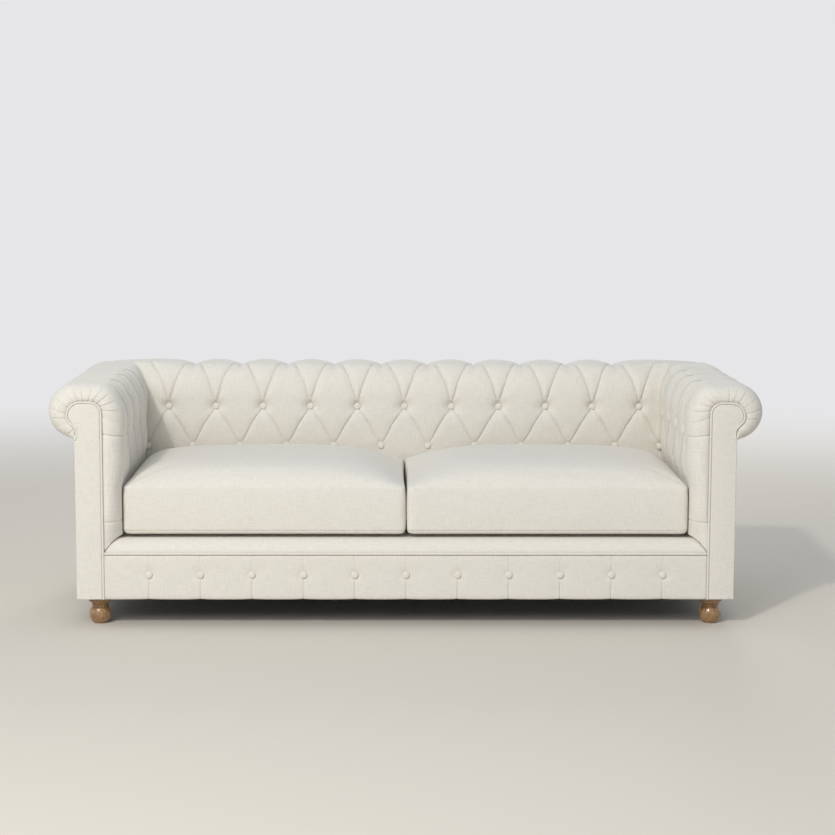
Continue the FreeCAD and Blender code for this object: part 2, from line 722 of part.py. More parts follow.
HEAD_RISE = [
    0, 0, 0, 0, HEAD["inner_radius"] * (1 - DIAGONAL), 0,
    HEAD["outer_radius"] * (1 - DIAGONAL), HEAD["under_radius"] / 5,
]


def section_wire(section, place):
    """Closed wire of a padded section; its far side lies inside the frame head."""
    points, rises = section
    path = [rise_arc(a, b, rise) for a, b, rise in zip(points, points[1:], rises)]
    inner, low = HEAD["inner"], value(LIP_BOTTOM)
    slope = (value(DECK_TOP) - low) / size("pad_at_deck")
    back = size("rail_thickness") / 3
    ends = [
        (HEAD["outer"], value(UNDER_ROLL) + size("roll_radius") / 5),
        (HEAD["inner"] - size("rail_thickness"), HEAD["top"] - size("top_padding")),
        (inner - back, low - back * slope),
    ]
    return wire(closed(path, ends), place)


def core_prism(place, direction):
    """Room for the frame head inside the padding."""
    gap = size("fit_gap")
    path = head_path(gap, 0, HEAD["outer"] - gap)
    return Part.Face(wire(closed(path, [(HEAD["outer"] - gap, 0)]), place)).extrude(direction)


def column_sections(columns, reach):
    """Sections along a run of columns, each a kind and a position; buttons get flats of their own.

    Columns is a list of (kind, position) from end to end, reach the spacing between neighbours.
    """
    flat_half = size("button_seat") / 2
    result = []
    for step, (kind, position) in enumerate(columns):
        result += [(kind, position - flat_half), (kind, position + flat_half)]
        if step + 1 < len(columns):
            result.append((between_section, position + reach / 2))
    return result


def back_columns():
    """Button columns of the back between its corners, from left to right."""
    corner = value(CORNER_COLUMN)
    count = int(size("back_pitches"))
    pitch = 2 * corner / count
    columns = []
    for step in range(1, 2 * count):
        kind = upper_section if step % 2 else lower_section
        columns.append((kind, -corner + step * pitch / 2))
    return columns, pitch


def arm_columns():
    """Button columns of an arm, from its first button to the back corner."""
    first = size("arm_first_button")
    count = int(size("arm_columns"))
    corner = size("overall_depth") - value(PAD_IN)
    pitch = (corner - first) / (count - 0.5)
    columns = []
    for step in range(2 * count - 1):
        kind = lower_section if step % 2 else upper_section
        columns.append((kind, first + step * pitch / 2))
    return columns, pitch


def corner_sections(last, corner, step):
    """Sections between the last upper button and a corner, which keep the padding flat at its button."""
    plain = corner - step * (size("pad_at_crest") - size("pad_at_deck") + size("button_clear"))
    seat = last + step * size("button_seat") / 2
    return [(between_section, (seat + plain) / 2), (lower_section, plain)]


def back_pad():
    """Buttoned padding of the back, from mitre to mitre."""
    columns, pitch = back_columns()
    corner = value(CORNER_COLUMN)
    runs = corner_sections(columns[0][1], -corner, -1)[::-1]
    runs += column_sections(columns, pitch / 2)
    runs += corner_sections(columns[-1][1], corner, 1)
    wires = [section_wire(lower_section(), on_mitre(-1, arm=False))]
    wires += [section_wire(kind(), on_back(across)) for kind, across in runs]
    wires.append(section_wire(lower_section(), on_mitre(1, arm=False)))
    solid = Part.makeLoft(wires, True, True)
    half = value(HALF_WIDTH)
    core = core_prism(on_back(-half), FreeCAD.Vector(2 * half, 0, 0))
    keep("back_pad", shaped("back_padding", solid.cut(core)))


def arm_pads():
    """Buttoned padding of the arms, rounded in front and mitred behind."""
    columns, pitch = arm_columns()
    start = size("piping_diameter") + size("fit_gap") * 2
    depth = size("front_round")
    wires = []
    for degrees in (78, 55, 30, 0):
        turn = math.radians(degrees)
        place = on_left_arm(start + depth * (1 - math.sin(turn)))
        wires.append(section_wire(rounded_section(math.cos(turn)), place))
    runs = [(smooth_section, (start + depth + columns[0][1]) / 2)]
    runs += column_sections(columns, pitch / 2)
    runs += corner_sections(columns[-1][1], size("overall_depth") - value(PAD_IN), 1)
    wires += [section_wire(kind(), on_left_arm(behind)) for kind, behind in runs]
    wires.append(section_wire(lower_section(), on_mitre(-1, arm=True)))
    solid = Part.makeLoft(wires, True, True)
    core = core_prism(on_left_arm(0), FreeCAD.Vector(0, size("overall_depth"), 0))
    pair("arm_pad", shaped("left_padding", solid.cut(core)))


def button(centre, direction):
    """Covered button: a low round cap that stands on its flat back."""
    radius = size("button_diameter") / 2
    height = size("button_height")
    rim = height / 3
    cap = height - rim
    sphere = (radius ** 2 + cap ** 2) / (2 * cap)
    turn = math.asin(radius / sphere) / 2
    crown = (sphere * math.sin(turn), height - sphere * (1 - math.cos(turn)))
    path = [
        ((0, 0), None, (radius - 1, 0)),
        ((radius - 1, 0), None, (radius, rim)),
        ((radius, rim), crown, (0, height)),
        ((0, height), None, (0, 0)),
    ]
    face = Part.Face(wire(path, lambda point: FreeCAD.Vector(point[0], 0, point[1])))
    dome = face.revolve(FreeCAD.Vector(0, 0, 0), FreeCAD.Vector(0, 0, 1), 360)
    aim = FreeCAD.Rotation(FreeCAD.Vector(0, 0, 1), FreeCAD.Vector(*direction))
    dome.Placement = FreeCAD.Placement(FreeCAD.Vector(*centre), aim)
    return dome


def buttons():
    """Buttons of back and arms, each on the flat at its tuft; two face out of the corners."""
    gap = size("fit_gap") / 2
    heights = {upper_section: value(UPPER_ROW), lower_section: value(LOWER_ROW)}
    face = value(HALF_DEPTH) - value(PAD_IN) - gap
    columns, pitch = back_columns()
    domes = [button((across, face, heights[kind]), (0, -1, 0)) for kind, across in columns]
    corner = size("button_diameter") / 2 + gap
    for side in (-1, 1):
        place = (side * (value(CORNER_COLUMN) - corner * DIAGONAL),
                 value(HALF_DEPTH) - value(PAD_IN) - corner * DIAGONAL, value(LOWER_ROW))
        domes.append(button(place, (-side, -1, 0)))
    keep("back_buttons", shaped("back_domes", Part.Compound(domes)))
    columns, pitch = arm_columns()
    side = -value(CORNER_COLUMN) + gap
    line = -value(HALF_DEPTH)
    domes = [button((side, line + behind, heights[kind]), (1, 0, 0)) for kind, behind in columns]
    pair("arm_buttons", shaped("left_domes", Part.Compound(domes)))


# Front of the arms, front border and outside covers


def facing():
    """Scroll-shaped facing on each arm's front, with piping round its seat side and scroll."""
    body = doc.addObject("PartDesign::Body", "left_facing_board")
    sketch = new_sketch(body, "facing_outline", "XZ_Plane")
    bottom = size("foot_height")
    inset = size("piping_diameter") / 2 + size("fit_gap") / 2
    neck = HEAD["outer"] + inset
    under = value(UNDER_ROLL)
    path = head_path(-inset, bottom, neck)
    outer = size("roll_overhang")
    step = size("cover_board")
    path = closed(path, [(neck, under + step), (outer, under - step), (outer, bottom)])
    draw_scroll(sketch, path)
    pad(body, sketch, "sizes.facing_thickness")
    bind(body, Placement_Base_x=f"-{HALF_WIDTH}", Placement_Base_y=f"-{HALF_DEPTH} + {FACING_BACK}")
    pair("facing", body)


def tube(path_wire, radius):
    """Round cord along a smooth wire."""
    start = path_wire.Edges[0]
    point = start.valueAt(start.FirstParameter)
    along = start.tangentAt(start.FirstParameter)
    ring = Part.Wire(Part.Circle(point, along, radius).toShape())
    return path_wire.makePipeShell([ring], True, False)


def piping():
    """Piping round the facings and along the top of the front border."""
    radius = size("piping_diameter") / 2
    path = head_path(0, size("foot_height"), HEAD["outer"])
    line = wire(path, on_left_arm(radius))
    pair("facing_piping", shaped("left_piping", tube(line, radius)))
    end = f"({HALF_WIDTH} - {CORE_IN} - sizes.piping_diameter / 2 - sizes.fit_gap)"
    rod = doc.addObject("Part::Cylinder", "border_cord")
    rod.Placement.Rotation = FreeCAD.Rotation(FreeCAD.Vector(0, 1, 0), 90)
    bind(rod, Radius="sizes.piping_diameter / 2", Height=f"2 * {end}", Placement_Base_x=f"-{end}")
    bind(rod, Placement_Base_y=f"-{HALF_DEPTH} + sizes.piping_diameter / 2")
    bind(rod, Placement_Base_z=f"{BORDER_TOP} + sizes.piping_diameter / 2 + sizes.fit_gap")
    keep("border_piping", rod)


def border_columns():
    """X of the front border's buttons."""
    count = int(size("border_buttons"))
    last = value(HALF_WIDTH) - value(CORE_IN) - size("border_first_button")
    pitch = 2 * last / (count - 1)
    return [step * pitch - last for step in range(count)], pitch


def front_border():
    """Padded border below the piping, drawn in by an upright pleat at each button."""
    columns, pitch = border_columns()
    end = value(HALF_WIDTH) - value(CORE_IN) - size("piping_diameter") / 2 - size("fit_gap")
    swell = size("border_front")
    groove = swell + size("border_groove")
    edge = (swell + groove) / 2
    low, high = size("foot_height"), value(BORDER_TOP)
    back = value(FACING_BACK)
    rise = edge - swell

    def section(across, front, bulge):
        path = [rise_arc((front, high), (front, low), bulge)]
        points = [(front, low), (back, low), (back, high), (front, high)]
        path += [(a, None, b) for a, b in zip(points, points[1:])]
        line = -value(HALF_DEPTH)
        return wire(path, lambda point: FreeCAD.Vector(across, line + point[0], point[1]))

    half_flat = size("button_seat") / 2
    wires = [section(-end, edge, rise)]
    for step, across in enumerate(columns):
        if step:
            wires.append(section(across - pitch / 2, edge, rise))
        wires += [section(across - half_flat, groove, 0), section(across + half_flat, groove, 0)]
    wires.append(section(end, edge, rise))
    keep("front_border", shaped("border_padding", Part.makeLoft(wires, True, True)))
    face = groove - value(HALF_DEPTH) - size("fit_gap") / 2
    row = value(BORDER_TOP) - size("border_button_drop")
    domes = [button((across, face, row), (0, -1, 0)) for across in columns]
    keep("border_buttons", shaped("border_domes", Part.Compound(domes)))


def outside_covers():
    """Covered boards on the outside of arms and back, up to the underside of the roll."""
    up = ("sizes.foot_height", f"{UNDER_ROLL} - 2 * sizes.fit_gap")
    along = (f"-{HALF_DEPTH} + {FACING_BACK}", f"{HALF_DEPTH} - sizes.roll_overhang")
    pair("outside_arm", block("left_outside", from_left("sizes.roll_overhang", CORE_OUT), along, up))
    across = (f"-{HALF_WIDTH} + {CORE_OUT}", f"{HALF_WIDTH} - {CORE_OUT}")
    keep("outside_back", block("rear_outside", across, from_back("sizes.roll_overhang", CORE_OUT), up))


# Seat


def webbing():
    """Straps from rail to rail; the crosswise ones pass over and under the lengthwise ones."""
    top = size("rail_top")
    thick = size("webbing_thickness")
    wide = size("webbing_width")
    gap = size("fit_gap") / 2
    count = int(size("lengthwise_straps"))
    places = [step * value(STRAP_PITCH) - value(STRAP_REACH) for step in range(count)]
    along = (value(FACING_BACK) + wide / 10 - value(HALF_DEPTH), value(HALF_DEPTH) - value(CORE_OUT) - wide / 10)
    straps = [
        Part.makeBox(wide, along[1] - along[0], thick, FreeCAD.Vector(x - wide / 2, along[0], top))
        for x in places
    ]
    keep("lengthwise_webbing", shaped("lengthwise", Part.Compound(straps)))
    reach = value(HALF_WIDTH) - value(CORE_OUT) - wide / 10
    rail = value(HALF_WIDTH) - value(RAIL_IN)
    settled = value(STRAP_REACH) + wide / 2 + 5 * thick
    woven = []
    for step in range(int(size("crosswise_straps"))):
        middle = along[0] + (along[1] - along[0]) * (step + 1) / (size("crosswise_straps") + 1)
        route = [(-reach, top), (-rail, top), (-settled, top)]
        for number, x in enumerate(places):
            over = (number + step) % 2
            level = top + thick + gap if over else top - thick - gap
            route += [(x - wide / 2 - thick, level), (x + wide / 2 + thick, level)]
        route += [(settled, top), (rail, top), (reach, top)]
        upper = [(x, z + thick) for x, z in reversed(route)]
        outline = [FreeCAD.Vector(x, middle - wide / 2, z) for x, z in route + upper]
        face = Part.Face(Part.makePolygon(outline + outline[:1]))
        woven.append(face.extrude(FreeCAD.Vector(0, wide, 0)))
    keep("crosswise_webbing", shaped("crosswise", Part.Compound(woven)))


def slant_inset(height):
    """Inset where the deck's slanting edge stands clear of the padding above it."""
    low = value(LIP_BOTTOM)
    share = (height - low) / (value(DECK_TOP) - low)
    return value(CORE_IN) + share * size("pad_at_deck") + size("fit_gap")


def deck():
    """Sprung front lip and deck pad that the cushions lie on; their edges slant under the padding."""
    low, high = value(LIP_BOTTOM), value(DECK_TOP)
    line = -value(HALF_DEPTH)
    start = size("piping_diameter") + size("fit_gap") * 3
    rounded = size("lip_round")
    corners = [(start, low), (start + rounded, high), (size("lip_depth"), high), (size("lip_depth"), low)]
    path = [rise_arc(corners[0], corners[1], -rounded * 0.28)]
    path += [(a, None, b) for a, b in zip(corners[1:], corners[2:] + corners[:1])]
    half = value(HALF_WIDTH)
    profile = wire(path, lambda point: FreeCAD.Vector(-half, line + point[0], point[1]))
    lip = Part.Face(profile).extrude(FreeCAD.Vector(2 * half, 0, 0))
    below, above = low - rounded, high + rounded
    wedge = [
        (slant_inset(below) - half, below), (slant_inset(above) - half, above),
        (-2 * half, above), (-2 * half, below),
    ]
    outline = [FreeCAD.Vector(x, line - rounded, z) for x, z in wedge]
    face = Part.Face(Part.makePolygon(outline + outline[:1]))
    tool = face.extrude(FreeCAD.Vector(0, size("lip_depth") + 2 * rounded, 0))
    keep("front_lip", shaped("lip", lip.cut(tool).cut(mirror_shape(tool))))

    def ring(height):
        inset = slant_inset(height)
        front = line + size("lip_depth") + size("fit_gap") / 2
        back = value(HALF_DEPTH) - inset
        side = half - inset
        points = [(-side, front), (side, front), (side, back), (-side, back)]
        outline = [FreeCAD.Vector(x, y, height) for x, y in points]
        return Part.makePolygon(outline + outline[:1])

    bottom = value(DECK_BOTTOM)
    keep("deck_pad", shaped("deck_padding", Part.makeLoft([ring(bottom), ring(high)], True, True)))


def cushion_outline(box, inset, height):
    """Level outline of a cushion: round corners, and sides that draw in between them."""
    left, right, front, back = box
    left, right = left + inset, right - inset
    front, back = front + inset, back - inset
    round_off = size("cushion_corner")
    drawn = size("cushion_ear") * max(0, 1 - inset / size("cushion_corner") / 2)
    middles = [
        (left + round_off, front + round_off, 225), (right - round_off, front + round_off, 315),
        (right - round_off, back - round_off, 45), (left + round_off, back - round_off, 135),
    ]
    corners = []
    for x, y, degrees in middles:
        points = []
        for turn in (degrees - 45, degrees, degrees + 45):
            angle = math.radians(turn)
            points.append((x + round_off * math.cos(angle), y + round_off * math.sin(angle)))
        corners.append(tuple(points))
    path = []
    for step, corner in enumerate(corners):
        path.append(corner)
        path.append(rise_arc(corner[2], corners[(step + 1) % 4][0], -drawn))
    return wire(path, lambda point: FreeCAD.Vector(point[0], point[1], height))


def cushion_solid(shrink):
    """Left cushion: boxed sides, a seam round top and bottom and a crowned top, shrunk all round."""
    left = -value(HALF_WIDTH) + value(PAD_IN) + size("cushion_side_gap") + shrink
    right = -size("cushion_gap") / 2 - shrink
    front = size("cushion_front") - value(HALF_DEPTH) + shrink
    back = value(HALF_DEPTH) - value(PAD_IN) - size("cushion_back_gap") - shrink
    box = (left, right, front, back)
    low = value(CUSHION_BOTTOM) + shrink
    seam = value(CUSHION_BOTTOM) + size("cushion_boxing") - shrink
    reach = (back - front) / 2
    swell = size("cushion_face")
    levels = [(swell, low), (swell / 3, low + swell), (0, (low + seam) / 2), (swell / 3, seam - swell)]
    levels.append((swell / 2, seam))
    for share in (0.35, 0.6, 0.8, 0.93, 0.98):
        inset = swell / 2 + reach * (1 - math.sqrt(1 - share ** 2))
        levels.append((inset, seam + size("cushion_crown") * share))
    return Part.makeLoft([cushion_outline(box, inset, height) for inset, height in levels], True, True)


def cushions():
    """Two loose cushions: a sewn cover round a foam core."""
    thick = size("cover_thickness")
    cover = cushion_solid(0).cut(cushion_solid(thick))
    pair("cushion_cover", shaped("left_cover", cover))
    pair("cushion_core", shaped("left_core", cushion_solid(thick + size("fit_gap"))))


seat_rails()
corner_blocks()
front_posts()
rear_posts()
top_rails()
tack_rails()
back_uprights()
inner_boards()
roll_formers()
feet()
dust_cover()
back_pad()
arm_pads()
buttons()
facing()
piping()
front_border()
outside_covers()
webbing()
deck()
cushions()
doc.recompute()

# Nothing is written unless every object is sound
for item in doc.Objects:
    if "Invalid" in item.State or "Error" in item.State:
        raise RuntimeError(f"{item.Label} failed: {item.State}")
for label, item in nodes.items():
    if item.Shape.isNull() or not item.Shape.isValid() or not item.Shape.Solids:
        raise RuntimeError(f"{label} has no sound solid")

os.makedirs("parts", exist_ok=True)
for label, item in nodes.items():
    item.Shape.exportStep(f"parts/{label}.step")
print(len(nodes), "sub-parts written")
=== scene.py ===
"""Looks of a chesterfield sofa: cream linen cloth, deep buttoning, loose cushions, turned feet.

Sizes are in millimetres until a mesh is made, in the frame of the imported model: +X to the right as
seen from the front, +Y to the back, +Z up, origin on the floor. Arms and back share one section,
written as inset (level distance from the roll's outermost line) and height above the floor.
"""

import json
import logging
import math
from dataclasses import dataclass
from enum import Enum
from typing import Any
from typing import Sequence

import bpy
import bmesh
import numpy as np
from mathutils import Matrix
from mathutils import Vector
from mathutils import noise


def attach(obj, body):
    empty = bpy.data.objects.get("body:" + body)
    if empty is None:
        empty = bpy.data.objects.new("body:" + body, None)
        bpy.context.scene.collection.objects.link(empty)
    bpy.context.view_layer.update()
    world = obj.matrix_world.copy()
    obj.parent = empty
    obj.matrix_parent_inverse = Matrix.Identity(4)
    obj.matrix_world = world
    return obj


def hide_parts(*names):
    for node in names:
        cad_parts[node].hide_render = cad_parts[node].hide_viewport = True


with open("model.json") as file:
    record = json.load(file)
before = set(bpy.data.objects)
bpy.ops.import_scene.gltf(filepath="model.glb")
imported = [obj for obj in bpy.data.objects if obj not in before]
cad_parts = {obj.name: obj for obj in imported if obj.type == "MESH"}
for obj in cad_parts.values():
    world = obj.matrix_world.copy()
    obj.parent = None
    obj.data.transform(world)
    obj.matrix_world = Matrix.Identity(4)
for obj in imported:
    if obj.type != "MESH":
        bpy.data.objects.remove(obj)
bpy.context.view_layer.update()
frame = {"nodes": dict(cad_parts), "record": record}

log = logging.getLogger("sofa")
MM = 0.001
BODY = "sofa_body"
Point = tuple[float, float]


class Side(Enum):
    """Side of the sofa as seen from the front."""

    LEFT = -1
    RIGHT = 1

    @property
    def label(self) -> str:
        """Word that names of pieces start with."""
        return self.name.lower()


# Meshes


def smooth_step(low: float, high: float, value: Any) -> np.ndarray:
    """Ease from 0 at low to 1 at high.

    Args:
        low: Value where the result leaves 0.
        high: Value where the result reaches 1.
        value: Numbers to ease.

    Returns:
        The eased numbers.
    """
    share = np.clip((np.asarray(value, dtype=float) - low) / (high - low), 0.0, 1.0)
    return share * share * (3.0 - 2.0 * share)


def ripple(points: np.ndarray, size: float, seed: float) -> np.ndarray:
    """Smooth unevenness of cloth at a given size.

    Args:
        points: Places, three numbers each, in millimetres.
        size: Width of one swell, in millimetres.
        seed: Offset that tells one pattern from another.

    Returns:
        One number from about -1 to 1 for each place.
    """
    shift = np.array((seed, 1.7 * seed, 0.6 * seed)) + 0.37
    flat = points.reshape(-1, 3) / size + shift
    numbers = [noise.noise(place) for place in flat.tolist()]
    return np.array(numbers).reshape(points.shape[:-1])


def make_piece(
    name: str,
    points: np.ndarray,
    faces: Sequence[Sequence[int]],
    cloth: np.ndarray | None = None,
) -> bpy.types.Object:
    """Make a smooth-shaded object.

    Args:
        name: Name of the piece.
        points: Corners in millimetres.
        faces: Corner numbers of each face.
        cloth: Place of each corner on the flat cloth, in millimetres; mapped by facing if None.

    Returns:
        The new object, linked to the scene.
    """
    mesh = bpy.data.meshes.new(name)
    mesh.from_pydata((np.asarray(points) * MM).tolist(), [], [list(face) for face in faces])
    builder = bmesh.new()
    builder.from_mesh(mesh)
    bmesh.ops.recalc_face_normals(builder, faces=builder.faces)
    builder.to_mesh(mesh)
    builder.free()
    mesh.shade_smooth()
    piece = bpy.data.objects.new(name, mesh)
    bpy.context.scene.collection.objects.link(piece)
    lay_cloth(piece, cloth)
    return piece


def read_points(mesh: bpy.types.Mesh, what: str = "co") -> np.ndarray:
    """Read the corners of a mesh.

    Args:
        mesh: The mesh.
        what: Property of a corner with three numbers, its place if none is named.

    Returns:
        Three numbers for each corner.
    """
    numbers = np.empty(len(mesh.vertices) * 3)
    mesh.vertices.foreach_get(what, numbers)
    return numbers.reshape(-1, 3)


def lay_cloth(piece: bpy.types.Object, cloth: np.ndarray | None) -> None:
    """Give a piece the threads' directions: a map in metres that the weave follows.

    Args:
        piece: Object to map.
        cloth: Place of each corner on the flat cloth, in millimetres, or None to map by facing.
    """
    mesh = piece.data
    layer = mesh.uv_layers.new(name="cloth")
    places = np.empty((len(mesh.loops), 2))
    corner = np.empty(len(mesh.loops), dtype=int)
    mesh.loops.foreach_get("vertex_index", corner)
    if cloth is not None:
        places[:] = np.asarray(cloth)[corner] * MM
    else:
        points = read_points(mesh)
        for face in mesh.polygons:
            across = int(np.argmax(np.abs(face.normal)))
            keep = [axis for axis in range(3) if axis != across]
            rows = list(face.loop_indices)
            places[rows] = points[corner[rows]][:, keep]
    layer.data.foreach_set("uv", places.ravel())


def ring_faces(stations: int, around: int, capped: bool = True) -> list[list[int]]:
    """Faces of a tube made of rings, one ring after another.

    Args:
        stations: How many rings.
        around: Corners in each ring.
        capped: Whether the first and the last ring are closed.

    Returns:
        Corner numbers of each face.
    """
    faces = []
    for row in range(stations - 1):
        here = row * around
        there = here + around
        for step in range(around):
            after = (step + 1) % around
            faces.append([here + step, here + after, there + after, there + step])
    if capped:
        faces.append(list(range(around))[::-1])
        faces.append([(stations - 1) * around + step for step in range(around)])
    return faces


def arc(centre: Point, radius: Point, start: float, end: float, count: int) -> list[Point]:
    """Points on part of an ellipse.

    Args:
        centre: Its middle.
        radius: Its two half axes.
        start: First angle, in degrees.
        end: Last angle, in degrees.
        count: How many points.

    Returns:
        The points in order.
    """
    turns = np.radians(np.linspace(start, end, count))
    return [(centre[0] + radius[0] * math.cos(t), centre[1] + radius[1] * math.sin(t)) for t in turns]


def arc_lengths(points: np.ndarray) -> np.ndarray:
    """Distance along a line of points, from its first point to each."""
    steps = np.linalg.norm(np.diff(points, axis=0), axis=1)
    return np.concatenate([[0.0], np.cumsum(steps)])


def evenly(points: np.ndarray, spacing: float) -> np.ndarray:
    """Put points at an even spacing on a line of points.

    Args:
        points: The line.
        spacing: Distance between the new points.

    Returns:
        The new points.
    """
    lengths = arc_lengths(points)
    even = np.linspace(0, lengths[-1], int(lengths[-1] / spacing) + 1)
    columns = [np.interp(even, lengths, points[:, axis]) for axis in range(points.shape[1])]
    return np.stack(columns, axis=1)


def join_pieces(name: str, parts: Sequence[tuple[np.ndarray, list[list[int]]]]) -> bpy.types.Object:
    """Make one piece of several closed meshes.

    Args:
        name: Name of the piece.
        parts: Corners and faces of each mesh.

    Returns:
        The new object.
    """
    points = []
    faces = []
    first = 0
    for corners, rows in parts:
        points.append(corners)
        faces += [[first + number for number in row] for row in rows]
        first += len(corners)
    return make_piece(name, np.vstack(points), faces)


def settle(
    piece: bpy.types.Object, cloth: bpy.types.Material, *nodes: str, body: str = BODY, slot: str = "linen"
) -> None:
    """Dress a piece, fix it to its body and let it stand for CAD nodes.

    Args:
        piece: Object to fix.
        cloth: Its cover.
        nodes: CAD nodes that it stands for.
        body: Body that it moves with.
        slot: Record's material slot; not used.
    """
    piece.data.materials.append(cloth)
    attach(piece, body)
    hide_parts(*nodes)
    log.info("%s: %d faces", piece.name, len(piece.data.polygons))


# Materials


def linear(code: str) -> tuple[float, float, float, float]:
    """Turn an sRGB hex colour to linear.

    Args:
        code: Six hex digits after a hash.

    Returns:
        Red, green, blue and alpha for a shader.
    """
    parts = [int(code[place:place + 2], 16) / 255 for place in (1, 3, 5)]
    red, green, blue = [p / 12.92 if p <= 0.04045 else ((p + 0.055) / 1.055) ** 2.4 for p in parts]
    return (red, green, blue, 1.0)


def feed(node: bpy.types.Node, feeds: dict[Any, Any]) -> None:
    """Set or link inputs of a node.

    Args:
        node: The node.
        feeds: Input name or number to a value, or to the output socket that feeds it.
    """
    for socket, value in feeds.items():
        if isinstance(value, bpy.types.NodeSocket):
            node.id_data.links.new(value, node.inputs[socket])
        else:
            node.inputs[socket].default_value = value


def add_node(tree: bpy.types.NodeTree, kind: str, feeds: dict[Any, Any], **settings: Any) -> bpy.types.Node:
    """Add a node with its settings and links.

    Args:
        tree: Node tree to add to.
        kind: Blender's name of the node type.
        feeds: Input name or number to a value, or to the output socket that feeds it.
        settings: Properties of the node; stops are the places and colours of a ramp.

    Returns:
        The new node.
    """
    node = tree.nodes.new(kind)
    stops = settings.pop("stops", ())
    for name, value in settings.items():
        setattr(node, name, value)
    feed(node, feeds)
    for number, (place, code) in enumerate(stops):
        elements = node.color_ramp.elements
        element = elements[number] if number < len(elements) else elements.new(place)
        element.position = place
        element.color = linear(code)
    return node


def new_material(name: str) -> tuple[bpy.types.Material, bpy.types.NodeTree, bpy.types.Node]:
    """Start a material.

    Args:
        name: Its name.

    Returns:
        The material, its node tree and its shader.
    """
    material = bpy.data.materials.new(name)
    material.use_nodes = True
    tree = material.node_tree
    return material, tree, tree.nodes["Principled BSDF"]


# Bands of the wave texture repeat every 2 pi / 20 of a unit at scale 1
WAVE = 2 * math.pi / 20


@dataclass(frozen=True)
class Linen:
    """Linen-look upholstery cloth, plain woven from uneven yarn: matt, faintly heathered, with slubs."""

    name: str = "linen_cloth"
    light: str = "#EBE8DF"
    middle: str = "#E4E0D6"
    shade: str = "#D9D4C8"
    # painted shade deep in a lapped fold, where little light comes back out of the cloth
    painted_fold_shade: str = "#8C806C"
    # threads are 0.5 mm apart, too fine for the picture, so they are drawn nearly three times as coarse
    thread_mm: float = 1.4
    slub_mm: float = 2.6
    slub_length_mm: float = 34.0
    fleck_mm: float = 3.2

    def build(self) -> bpy.types.Material:
        """Make the material.

        Returns:
            The linen cloth.
        """
        material, tree, shader = new_material(self.name)
        cloth = add_node(tree, "ShaderNodeUVMap", {}, uv_map="cloth").outputs[0]
        wide = 1 / (self.slub_mm * MM)
        long = 1 / (self.slub_length_mm * MM)
        fine = 1 / (self.fleck_mm * MM)
        yarns = []
        # warp, then weft
        for scale in ((wide, long, 1.0), (long, wide, 1.0)):
            place = add_node(tree, "ShaderNodeMapping", {0: cloth, 3: scale})
            feeds = {0: place.outputs[0], "Scale": 1.0, "Detail": 2.0}
            yarns.append(add_node(tree, "ShaderNodeTexNoise", feeds).outputs[0])
        fleck = add_node(tree, "ShaderNodeTexNoise", {0: cloth, "Scale": fine, "Detail": 1.0})
        slubs = add_node(tree, "ShaderNodeMath", {0: yarns[0], 1: yarns[1]}, operation="ADD")
        yarn = add_node(tree, "ShaderNodeMath", {0: slubs.outputs[0], 1: fleck.outputs[0]}, operation="ADD")
        tone = add_node(tree, "ShaderNodeMath", {0: yarn.outputs[0], 1: 3.0}, operation="DIVIDE")
        stops = ((0.33, self.shade), (0.5, self.middle), (0.67, self.light))
        colour = add_node(tree, "ShaderNodeValToRGB", {0: tone.outputs[0]}, stops=stops)
        feeds = {0: cloth, "Scale": WAVE / (self.thread_mm * MM), "Distortion": 0.8, "Detail": 1.0}
        threads = [add_node(tree, "ShaderNodeTexWave", feeds, bands_direction=axis) for axis in "XY"]
        feeds = {0: threads[0].outputs[1], 1: threads[1].outputs[1]}
        weave = add_node(tree, "ShaderNodeMath", feeds, operation="MAXIMUM")
        feeds = {0: weave.outputs[0], 1: 0.35, 2: slubs.outputs[0]}
        relief = add_node(tree, "ShaderNodeMath", feeds, operation="MULTIPLY_ADD")
        feeds = {"Height": relief.outputs[0], "Strength": 0.5, "Distance": 0.0005}
        bump = add_node(tree, "ShaderNodeBump", feeds)
        # painted shade: the fold attribute darkens the cloth's colour deep in lapped folds
        fold = add_node(tree, "ShaderNodeAttribute", {}, attribute_name="fold")
        feeds = {0: fold.outputs["Fac"], 6: colour.outputs[0], 7: linear(self.painted_fold_shade)}
        cover = add_node(tree, "ShaderNodeMix", feeds, data_type="RGBA")
        feed(shader, {"Base Color": cover.outputs[2], "Normal": bump.outputs[0]})
        feed(shader, {"Roughness": 0.92, "Specular IOR Level": 0.25})
        feed(shader, {"Sheen Weight": 0.12, "Sheen Roughness": 0.6})
        return material


@dataclass(frozen=True)
class Wood:
    """Timber with grain along one axis, bare or under a satin lacquer."""

    name: str
    light: str
    dark: str
    grain_mm: float
    roughness: float
    lacquer: float = 0.0
    along: int = 2

    def build(self) -> bpy.types.Material:
        """Make the material.

        Returns:
            The wood.
        """
        material, tree, shader = new_material(self.name)
        place = add_node(tree, "ShaderNodeTexCoord", {}).outputs["Object"]
        scale = [1 / (self.grain_mm * MM)] * 3
        scale[self.along] /= 12
        mapped = add_node(tree, "ShaderNodeMapping", {0: place, 3: scale})
        feeds = {0: mapped.outputs[0], "Scale": 1.0, "Detail": 5.0, "Distortion": 0.6}
        grain = add_node(tree, "ShaderNodeTexNoise", feeds).outputs[0]
        stops = ((0.32, self.dark), (0.66, self.light))
        colour = add_node(tree, "ShaderNodeValToRGB", {0: grain}, stops=stops)
        bump = add_node(tree, "ShaderNodeBump", {"Height": grain, "Strength": 0.15, "Distance": 0.0004})
        feeds = {0: grain, 3: self.roughness + 0.1, 4: self.roughness - 0.06}
        rough = add_node(tree, "ShaderNodeMapRange", feeds)
        feed(shader, {"Base Color": colour.outputs[0], "Normal": bump.outputs[0]})
        feed(shader, {"Roughness": rough.outputs[0], "Coat Weight": self.lacquer, "Coat Roughness": 0.12})
        return material


